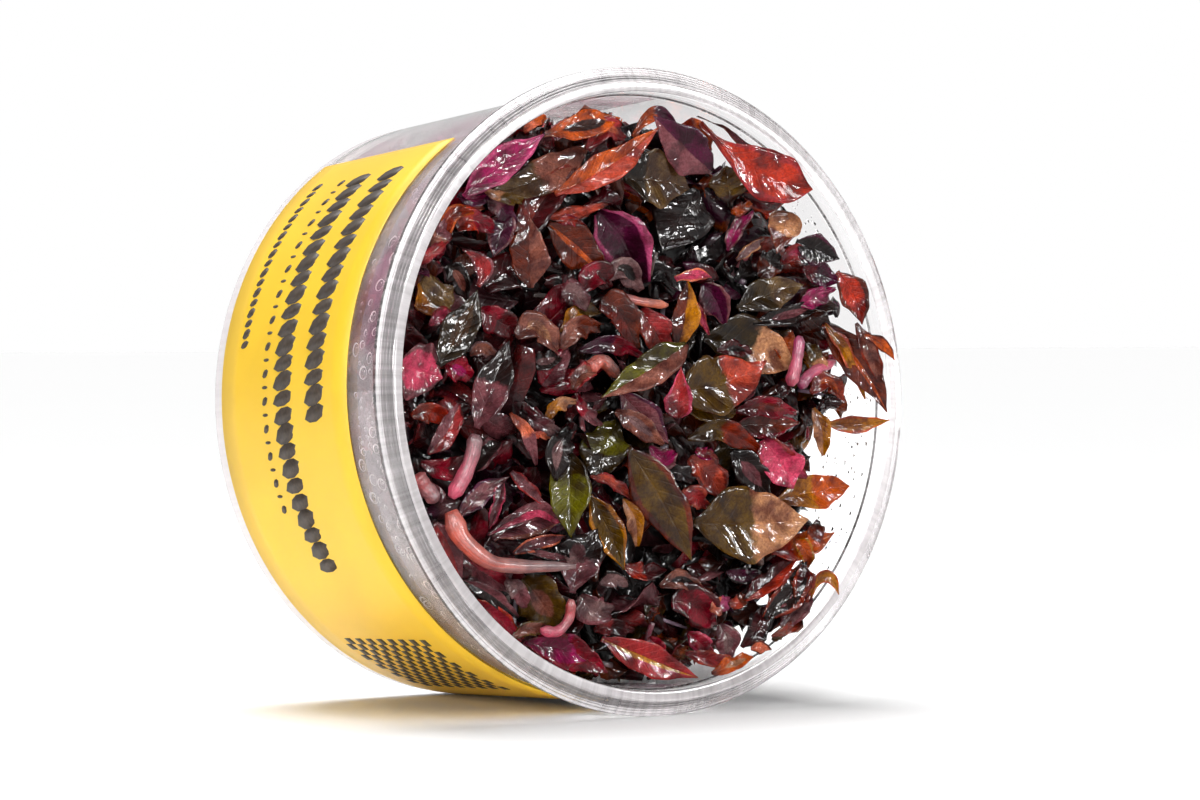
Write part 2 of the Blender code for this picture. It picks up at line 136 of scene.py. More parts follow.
@dataclass(frozen=True)
class CupSizes:
    """The cup's turned shape, as radii and depths."""
    sides: int = 48
    flange: float = 47.5
    flange_front: float = 1.4
    flange_back: float = 2.2
    lip: float = 45.2
    mouth: float = 43.75
    lip_depth: float = 2.7
    body_top: float = 45.4
    base: float = 44.2
    depth: float = 52.3
    base_edge: float = 1.0
    inner_top: float = 43.4
    inner_base: float = 42.7
    floor: float = 1.5

    def body(self, depth: float) -> float:
        """The outer radius behind the flange at a depth."""
        part = (depth - self.flange_back) / (self.depth - self.base_edge - self.flange_back)
        return self.body_top + (self.base - self.body_top) * part

    def inner(self, depth: float) -> float:
        """The inner wall's radius at a depth."""
        part = (depth - self.lip_depth) / (self.depth - self.floor - self.lip_depth)
        return self.inner_top + (self.inner_base - self.inner_top) * part


CUP = CupSizes()


class MouthFrame:
    """The mouth's own frame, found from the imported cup's box."""

    def __init__(self, sizes: CupSizes) -> None:
        """Works out the cup's lean and its mouth's centre."""
        flat = math.cos(math.pi / sizes.sides)
        rise = (sizes.flange - sizes.base) * flat
        self.tilt = math.atan(rise / (sizes.depth - sizes.base_edge - sizes.flange_back))
        low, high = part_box("cup")
        front = sizes.lip * flat * math.sin(self.tilt)
        height = sizes.flange * flat * math.cos(self.tilt) + sizes.flange_back * math.sin(self.tilt)
        self.centre = np.array([(low[0] + high[0]) / 2, low[1] + front * MM, height * MM])
        self.axes = np.array([[1, 0, 0],
                              [0, math.sin(self.tilt), math.cos(self.tilt)],
                              [0, math.cos(self.tilt), -math.sin(self.tilt)]])

    def place(self, points: np.ndarray) -> np.ndarray:
        """Turns (u, v, depth) in millimetres into metres in the part's frame."""
        return self.centre + (np.asarray(points, float) * MM) @ self.axes


MOUTH = MouthFrame(CUP)

READ_DEPTH = 3.0
SIGHT_SLOPE = 0.714
SIGHT = np.array([-0.581, 0.03, -0.813])
SIGHT = SIGHT / np.linalg.norm(SIGHT)


def seen(place: tuple) -> np.ndarray:
    """Moves a place read off the reading plane along the line of sight to its own depth."""
    u, v, depth = place
    return np.array([u + SIGHT_SLOPE * (depth - READ_DEPTH), v, depth])


def unit(vector: np.ndarray) -> np.ndarray:
    """A vector's direction."""
    return vector / np.linalg.norm(vector)


def around(vector: np.ndarray, axis: np.ndarray, degrees: float) -> np.ndarray:
    """Turns a vector about an axis."""
    angle = math.radians(degrees)
    return (vector * math.cos(angle) + np.cross(axis, vector) * math.sin(angle)
            + axis * np.dot(axis, vector) * (1 - math.cos(angle)))


@dataclass
class Form:
    """A mesh in the making: points, faces, a map across and along, and named per-point values."""
    points: np.ndarray
    faces: list
    across_along: np.ndarray
    shade: np.ndarray

    def joined(self, other: "Form") -> "Form":
        """This form and another as one."""
        shift = len(self.points)
        moved = [tuple(corner + shift for corner in face) for face in other.faces]
        return Form(np.vstack([self.points, other.points]), self.faces + moved,
                    np.vstack([self.across_along, other.across_along]),
                    np.concatenate([self.shade, other.shade]))


def as_mesh(name: str, form: Form) -> bpy.types.Mesh:
    """Makes a smooth mesh with its map and its shade from a form."""
    mesh = bpy.data.meshes.new(name)
    mesh.from_pydata([tuple(point) for point in form.points], [], form.faces)
    layer = mesh.uv_layers.new(name="blade")
    corners = np.empty(len(mesh.loops), dtype=np.int32)
    mesh.loops.foreach_get("vertex_index", corners)
    layer.data.foreach_set("uv", form.across_along[corners].astype(np.float32).ravel())
    shade = mesh.attributes.new("shade", "FLOAT", "POINT")
    shade.data.foreach_set("value", form.shade.astype(np.float32))
    mesh.polygons.foreach_set("use_smooth", np.ones(len(mesh.polygons), dtype=bool))
    mesh.update()
    return mesh


def deepened(colour: Colour, light: float = 1.0) -> Colour:
    """A plant colour as it looks under water film: darker and redder."""
    return colour[0] * light, colour[1] * light * 0.6, colour[2] * light * 0.4


def paint(mesh: bpy.types.Mesh, name: str, colour: Colour) -> None:
    """Gives every point of a mesh one named colour."""
    layer = mesh.attributes.new(name, "FLOAT_COLOR", "POINT")
    layer.data.foreach_set("color", np.tile((*colour, 1.0), len(mesh.vertices)).astype(np.float32))


def show(name: str, mesh: bpy.types.Mesh, material: bpy.types.Material) -> bpy.types.Object:
    """Puts a mesh in the scene as a piece that rides on the body."""
    mesh.materials.clear()
    mesh.materials.append(material)
    piece = bpy.data.objects.new(name, mesh)
    bpy.context.scene.collection.objects.link(piece)
    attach(piece, BODY)
    LOG.info("%s: %d faces", name, len(mesh.polygons))
    return piece


def turned_mesh(name: str, profile: list, segments: int) -> bpy.types.Mesh:
    """Turns a profile of (radius, depth) that starts and ends on the axis into a closed mesh.

    Args:
        name: The mesh's name.
        profile: Points from the outer base's centre, round the outside, to the inner floor's centre.
        segments: Number of steps round the axis.

    Returns:
        The closed mesh, with its normals outwards.
    """
    inner = profile[1:-1]
    angles = np.arange(segments) * 2 * math.pi / segments
    rings = [np.column_stack([r * np.cos(angles), r * np.sin(angles), np.full(segments, d)]) for r, d in inner]
    points = np.vstack([*rings, [[0, 0, profile[0][1]], [0, 0, profile[-1][1]]]])
    faces = []
    for ring in range(len(inner) - 1):
        for side in range(segments):
            after = (side + 1) % segments
            low = ring * segments
            faces.append((low + side, low + after, low + segments + after, low + segments + side))
    first = len(points) - 2
    last_ring = (len(inner) - 1) * segments
    for side in range(segments):
        after = (side + 1) % segments
        faces.append((first, after, side))
        faces.append((first + 1, last_ring + side, last_ring + after))
    mesh = bpy.data.meshes.new(name)
    mesh.from_pydata([tuple(point) for point in MOUTH.place(points)], [], faces)
    spokes = points / np.maximum(np.hypot(points[:, :1], points[:, 1:2]), 1e-6) * (1, 1, 0)
    mesh.attributes.new("spoke", "FLOAT_VECTOR", "POINT").data.foreach_set("vector", spokes.astype(np.float32).ravel())
    work = bmesh.new()
    work.from_mesh(mesh)
    bmesh.ops.recalc_face_normals(work, faces=work.faces)
    work.to_mesh(mesh)
    work.free()
    mesh.polygons.foreach_set("use_smooth", np.ones(len(mesh.polygons), dtype=bool))
    mesh.set_sharp_from_angle(angle=math.radians(32))
    return mesh


def rounded(corner: tuple, before: tuple, after: tuple, radius: float, steps: int = 4) -> list:
    """Replaces a profile's corner with a small round.

    Args:
        corner: The corner as (radius, depth).
        before: The profile's point before it.
        after: The profile's point after it.
        radius: How far from the corner the round starts and ends.
        steps: Number of pieces in the round.

    Returns:
        The points of the round.
    """
    here = np.array(corner, float)
    start = here + unit(np.array(before, float) - here) * radius
    end = here + unit(np.array(after, float) - here) * radius
    points = []
    for step in range(steps + 1):
        part = step / steps
        points.append(tuple((1 - part) ** 2 * start + 2 * part * (1 - part) * here + part ** 2 * end))
    return points


def soften(profile: list, radii: dict) -> list:
    """Rounds the numbered corners of a profile, each by its own radius."""
    points = []
    for index, corner in enumerate(profile):
        if index in radii:
            points += rounded(corner, profile[index - 1], profile[index + 1], radii[index])
        else:
            points.append(corner)
    return points


class Nodes:
    """A node tree in the making: adds nodes, sets their values and joins them."""

    def __init__(self, tree: bpy.types.NodeTree) -> None:
        """Keeps the tree."""
        self.tree = tree

    def add(self, kind: str, values: dict | None = None, **settings: object) -> bpy.types.Node:
        """Adds a node.

        Args:
            kind: The node's type.
            values: Values or output sockets by input name or number.
            settings: The node's own properties.

        Returns:
            The node.
        """
        node = self.tree.nodes.new(kind)
        for key, value in settings.items():
            setattr(node, key, value)
        for key, value in (values or {}).items():
            if isinstance(value, bpy.types.NodeSocket):
                self.tree.links.new(value, node.inputs[key])
            else:
                node.inputs[key].default_value = value
        return node

    def math(self, operation: str, first: object, second: object = 0.0, clamp: bool = False) -> bpy.types.NodeSocket:
        """The result of a sum of two numbers."""
        return self.add("ShaderNodeMath", {0: first, 1: second}, operation=operation, use_clamp=clamp).outputs[0]

    def mix(self, factor: object, first: object, second: object, blend: str = "MIX") -> bpy.types.NodeSocket:
        """The mix of two colours."""
        node = self.add("ShaderNodeMix", {0: factor, 6: first, 7: second}, data_type="RGBA", blend_type=blend)
        return node.outputs[2]

    def band(self, value: object, low: float, high: float, start: float = 0.0, end: float = 1.0) -> bpy.types.NodeSocket:
        """A number mapped from one range to another and held inside it."""
        node = self.add("ShaderNodeMapRange", {0: value, 1: low, 2: high, 3: start, 4: end})
        return node.outputs[0]

    def noise(self, where: object, scale: float, detail: float = 3.0, rough: float = 0.5) -> bpy.types.NodeSocket:
        """A noise number at a place."""
        node = self.add("ShaderNodeTexNoise", {"Vector": where, "Scale": scale, "Detail": detail, "Roughness": rough})
        return node.outputs[0]


def new_material(name: str) -> tuple[bpy.types.Material, Nodes, bpy.types.Node]:
    """A material with its node helper and its Principled shader."""
    material = bpy.data.materials.new(name)
    material.use_nodes = True
    return material, Nodes(material.node_tree), material.node_tree.nodes["Principled BSDF"]


@dataclass(frozen=True)
class ClearPlastic:
    """The cup's clear, slightly worn plastic."""
    refraction: float = 1.49
    scuff_scale: float = 90.0
    scuff_height: float = 0.00003

    def make(self, name: str) -> bpy.types.Material:
        """Builds the material."""
        material, nodes, shader = new_material(name)
        shader.inputs["Base Color"].default_value = (0.985, 0.975, 0.978, 1)
        shader.inputs["Transmission Weight"].default_value = 1.0
        shader.inputs["IOR"].default_value = self.refraction
        where = nodes.add("ShaderNodeTexCoord").outputs["Object"]
        speck = nodes.noise(where, self.scuff_scale * 12, 4.0)
        rough = nodes.band(speck, 0.45, 0.75, 0.015, 0.09)
        wave = nodes.noise(where, self.scuff_scale, 2.0)
        bump = nodes.add("ShaderNodeBump", {"Strength": 0.5, "Distance": self.scuff_height, "Height": wave})
        material.node_tree.links.new(rough, shader.inputs["Roughness"])
        material.node_tree.links.new(bump.outputs[0], shader.inputs["Normal"])
        return material


@dataclass(frozen=True)
class FrostedPlastic:
    """The same plastic where it is flat or scuffed, and so paler than the clear wall, and on thin edges darker, as
    painted shade for the dark lines that inner reflections make.
    """
    clearness: float
    low: float
    high: float
    roughness: float = 0.2

    def make(self, name: str) -> bpy.types.Material:
        """Builds the material."""
        material, nodes, shader = new_material(name)
        shader.inputs["Transmission Weight"].default_value = self.clearness
        shader.inputs["IOR"].default_value = 1.49
        where = nodes.add("ShaderNodeTexCoord").outputs["Object"]
        spoke = nodes.add("ShaderNodeAttribute", attribute_name="spoke").outputs["Vector"]
        cloud = nodes.noise(where, 120.0, 3.0)
        fine = nodes.noise(where, 1400.0, 2.0)
        streak = nodes.noise(spoke, 42.0, 2.0, 0.7)
        cloud = nodes.math("ADD", nodes.math("MULTIPLY", cloud, 0.45), nodes.math("MULTIPLY", streak, 0.55))
        low = (self.low, self.low * 0.93, self.low * 0.95, 1)
        high = (self.high, self.high * 0.95, self.high * 0.96, 1)
        tone = nodes.mix(nodes.band(cloud, 0.38, 0.62), low, high)
        rough = nodes.band(fine, 0.3, 0.7, self.roughness * 0.7, self.roughness * 1.2)
        material.node_tree.links.new(tone, shader.inputs["Base Color"])
        material.node_tree.links.new(rough, shader.inputs["Roughness"])
        return material


@dataclass(frozen=True)
class Mist:
    """Fine dew that fogs the inside of the wall, with painted leaf shadows in it."""
    cover: float = 0.28

    def make(self, name: str) -> bpy.types.Material:
        """Builds the material."""
        material, nodes, shader = new_material(name)
        shader.inputs["Roughness"].default_value = 0.6
        shader.inputs["Specular IOR Level"].default_value = 0.2
        where = nodes.add("ShaderNodeTexCoord").outputs["Object"]
        patches = nodes.noise(where, 160.0, 4.0, 0.6)
        grain = nodes.noise(where, 1500.0, 2.0)
        cover = nodes.band(patches, 0.3, 0.7, self.cover - 0.16, self.cover + 0.16)
        cover = nodes.math("MULTIPLY", cover, nodes.band(grain, 0.2, 0.8, 0.75, 1.25), clamp=True)
        # Painted shadow: crimson blotches in the mist stand for the shadows of the leaves behind it.
        leaf_shadow_noise = nodes.noise(where, 75.0, 2.0)
        shade = nodes.mix(nodes.band(leaf_shadow_noise, 0.5, 0.66), (0.62, 0.52, 0.54, 1), (0.42, 0.08, 0.2, 1))
        material.node_tree.links.new(shade, shader.inputs["Base Color"])
        material.node_tree.links.new(cover, shader.inputs["Alpha"])
        return material


@dataclass(frozen=True)
class Dew:
    """Drops of water."""

    def make(self, name: str) -> bpy.types.Material:
        """Builds the material."""
        material, nodes, shader = new_material(name)
        shader.inputs["Base Color"].default_value = (1, 1, 1, 1)
        shader.inputs["Transmission Weight"].default_value = 1.0
        shader.inputs["IOR"].default_value = 1.33
        shader.inputs["Roughness"].default_value = 0.0
        return material


@dataclass(frozen=True)
class DropHighlight:
    """The rims of the drops on the left, painted pale as painted highlights."""

    def make(self, name: str) -> bpy.types.Material:
        """Builds the material."""
        material, nodes, shader = new_material(name)
        shader.inputs["Base Color"].default_value = (0.92, 0.86, 0.87, 1)
        shader.inputs["Roughness"].default_value = 0.15
        shader.inputs["Alpha"].default_value = 0.8
        return material


@dataclass(frozen=True)
class LabelPaper:
    """Coated paper: one even colour, a faint fibre grain and a soft sheen."""
    colour: Colour = srgb(250, 202, 46)

    def make(self, name: str) -> bpy.types.Material:
        """Builds the material."""
        material, nodes, shader = new_material(name)
        where = nodes.add("ShaderNodeTexCoord").outputs["Object"]
        fibre = nodes.noise(where, 2600.0, 3.0)
        cloud = nodes.noise(where, 60.0, 2.0)
        light = tuple(min(1.0, part * 1.05) for part in self.colour)
        dark = tuple(part * 0.94 for part in self.colour)
        tone = nodes.mix(nodes.band(cloud, 0.35, 0.65), (*dark, 1), (*light, 1))
        bump = nodes.add("ShaderNodeBump", {"Strength": 0.25, "Distance": 0.00003, "Height": fibre})
        material.node_tree.links.new(tone, shader.inputs["Base Color"])
        material.node_tree.links.new(bump.outputs[0], shader.inputs["Normal"])
        shader.inputs["Roughness"].default_value = 0.42
        return material


@dataclass(frozen=True)
class PrintInk:
    """Dark grey ink, flat and slightly worn."""

    def make(self, name: str) -> bpy.types.Material:
        """Builds the material."""
        material, nodes, shader = new_material(name)
        where = nodes.add("ShaderNodeTexCoord").outputs["Object"]
        wear = nodes.noise(where, 1800.0, 3.0)
        tone = nodes.mix(nodes.band(wear, 0.4, 0.7), (*srgb(56, 46, 38), 1), (*srgb(78, 64, 52), 1))
        material.node_tree.links.new(tone, shader.inputs["Base Color"])
        shader.inputs["Roughness"].default_value = 0.5
        return material


@dataclass(frozen=True)
class GelFinish:
    """Moist, slightly cloudy set gel."""

    def make(self, name: str) -> bpy.types.Material:
        """Builds the material."""
        material, nodes, shader = new_material(name)
        where = nodes.add("ShaderNodeTexCoord").outputs["Object"]
        cloud = nodes.noise(where, 110.0, 4.0)
        tone = nodes.mix(nodes.band(cloud, 0.3, 0.7), (*srgb(232, 218, 216), 1), (*srgb(246, 238, 234), 1))
        material.node_tree.links.new(tone, shader.inputs["Base Color"])
        shader.inputs["Transmission Weight"].default_value = 0.35
        shader.inputs["IOR"].default_value = 1.34
        shader.inputs["Roughness"].default_value = 0.3
        return material


@dataclass(frozen=True)
class LeafFinish:
    """A wet leaf: two colours, veins, small blisters, a coat of water and painted shade towards the stalk."""
    vein_count: float = 9.0
    vein_light: float = 0.16
    roughness: float = 0.38
    coat: float = 1.0
    relief: float = 0.0003
    quilting: float = 0.12

    def make(self, name: str) -> bpy.types.Material:
        """Builds the material."""
        material, nodes, shader = new_material(name)
        where = nodes.add("ShaderNodeTexCoord").outputs["Object"]
        tint = nodes.add("ShaderNodeAttribute", attribute_name="tint").outputs["Color"]
        accent = nodes.add("ShaderNodeAttribute", attribute_name="accent").outputs["Color"]
        shade = nodes.add("ShaderNodeAttribute", attribute_name="shade").outputs["Fac"]
        blotch = nodes.noise(where, 420.0, 4.0, 0.6)
        fine = nodes.noise(where, 2600.0, 3.0, 0.6)
        ragged = nodes.math("ADD", shade, nodes.math("MULTIPLY", nodes.math("SUBTRACT", blotch, 0.5), 0.7))
        colour = nodes.mix(nodes.band(ragged, 0.42, 0.58), tint, accent)
        across, along = self.places(nodes)
        side = nodes.math("ABSOLUTE", nodes.math("SUBTRACT", across, 0.5))
        slant = nodes.math("SUBTRACT", nodes.math("MULTIPLY", along, self.vein_count),
                           nodes.math("MULTIPLY", side, 3.4))
        ripple = nodes.math("ABSOLUTE", nodes.math("SUBTRACT", nodes.math("FRACT", slant), 0.5))
        vein = nodes.band(ripple, 0.03, 0.13, 1.0, 0.0)
        rib = nodes.band(side, 0.012, 0.04, 1.0, 0.0)
        lines = nodes.math("MAXIMUM", nodes.math("MULTIPLY", vein, 0.45), rib)
        pale = nodes.mix(1.0, colour, (1.6, 1.35, 1.3, 1), "MULTIPLY")
        rim = nodes.band(side, 0.465, 0.495, 0.0, 0.5)
        colour = nodes.mix(nodes.math("MAXIMUM", nodes.math("MULTIPLY", lines, self.vein_light), rim), colour, pale)
        deep = nodes.mix(1.0, colour, (0.26, 0.16, 0.2, 1), "MULTIPLY")
        cloud = nodes.noise(where, 210.0, 2.0)
        gloom = nodes.math("ADD", nodes.math("MULTIPLY", cloud, 0.6), nodes.math("MULTIPLY", blotch, 0.4))
        colour = nodes.mix(nodes.band(gloom, 0.42, 0.6, 0.0, 0.92), colour, deep)
        grain = nodes.mix(1.0, colour, (0.5, 0.42, 0.42, 1), "MULTIPLY")
        colour = nodes.mix(nodes.band(fine, 0.42, 0.6, 0.0, 0.7), colour, grain)
        # Painted shade: the blade is painted darker towards its stalk, as occlusion between leaves would darken it.
        stalk = nodes.mix(1.0, colour, (0.35, 0.25, 0.28, 1), "MULTIPLY")
        colour = nodes.mix(nodes.band(along, 0.0, 0.4, 0.75, 0.0), colour, stalk)
        height = nodes.math("ADD", nodes.math("MULTIPLY", lines, -0.5), nodes.math("MULTIPLY", fine, 0.35))
        height = nodes.math("ADD", height, nodes.math("MULTIPLY", blotch, 1.5))
        height = nodes.math("ADD", height, nodes.math("MULTIPLY", ripple, self.quilting))
        bump = nodes.add("ShaderNodeBump", {"Strength": 0.7, "Distance": self.relief, "Height": height})
        wet = nodes.add("ShaderNodeBump", {"Strength": 0.14, "Distance": self.relief, "Height": height})
        material.node_tree.links.new(colour, shader.inputs["Base Color"])
        material.node_tree.links.new(bump.outputs[0], shader.inputs["Normal"])
        material.node_tree.links.new(wet.outputs[0], shader.inputs["Coat Normal"])
        material.node_tree.links.new(nodes.band(blotch, 0.35, 0.7, self.roughness - 0.12, self.roughness + 0.1),
                                     shader.inputs["Roughness"])
        shader.inputs["Specular IOR Level"].default_value = 0.04
        shader.inputs["Coat Weight"].default_value = self.coat
        shader.inputs["Coat Roughness"].default_value = 0.05
        shader.inputs["Coat IOR"].default_value = 1.22
        return material

    @staticmethod
    def places(nodes: Nodes) -> tuple[bpy.types.NodeSocket, bpy.types.NodeSocket]:
        """The place across and along the blade, from its map."""
        uv = nodes.add("ShaderNodeUVMap", uv_map="blade").outputs[0]
        split = nodes.add("ShaderNodeSeparateXYZ", {0: uv})
        return split.outputs[0], split.outputs[1]


@dataclass(frozen=True)
class StemFinish:
    """A soft, moist stem: pale and dark lengthwise fibres."""

    def make(self, name: str) -> bpy.types.Material:
        """Builds the material."""
        material, nodes, shader = new_material(name)
        where = nodes.add("ShaderNodeTexCoord").outputs["Object"]
        tint = nodes.add("ShaderNodeAttribute", attribute_name="tint").outputs["Color"]
        accent = nodes.add("ShaderNodeAttribute", attribute_name="accent").outputs["Color"]
        shade = nodes.add("ShaderNodeAttribute", attribute_name="shade").outputs["Fac"]
        uv = nodes.add("ShaderNodeUVMap", uv_map="blade").outputs[0]
        fibres = nodes.add("ShaderNodeMapping", {"Vector": uv, "Scale": (26.0, 3.0, 1.0)})
        grain = nodes.noise(fibres.outputs[0], 1.0, 4.0, 0.6)
        blotch = nodes.noise(where, 500.0, 3.0)
        mixed = nodes.math("ADD", shade, nodes.math("MULTIPLY", nodes.math("SUBTRACT", grain, 0.5), 1.4))
        colour = nodes.mix(nodes.band(mixed, 0.2, 0.8), tint, accent)
        dark = nodes.mix(1.0, colour, (0.42, 0.3, 0.34, 1), "MULTIPLY")
        colour = nodes.mix(nodes.band(blotch, 0.42, 0.66, 0.0, 0.8), colour, dark)
        height = nodes.math("ADD", grain, nodes.math("MULTIPLY", blotch, 2.0))
        bump = nodes.add("ShaderNodeBump", {"Strength": 0.9, "Distance": 0.0003, "Height": height})
        material.node_tree.links.new(colour, shader.inputs["Base Color"])
        material.node_tree.links.new(bump.outputs[0], shader.inputs["Normal"])
        shader.inputs["Roughness"].default_value = 0.55
        shader.inputs["Coat Weight"].default_value = 0.2
        shader.inputs["Coat Roughness"].default_value = 0.2
        return material


@dataclass(frozen=True)
class LeafSpec:
    """One large leaf: its place and shape as packed, and its colours."""
    name: str
    base: tuple
    tip: tuple
    width: float
    tint: Tint
    accent: Tint
    marking: Marking = Marking.EDGE
    bow: tuple = (0.0, 0.0, 0.0)
    fold: float = 16.0
    roll: float = 0.0
    twist: float = 0.0
    widest: float = 0.45
    wave: float = 0.22
    curl: float = 0.0


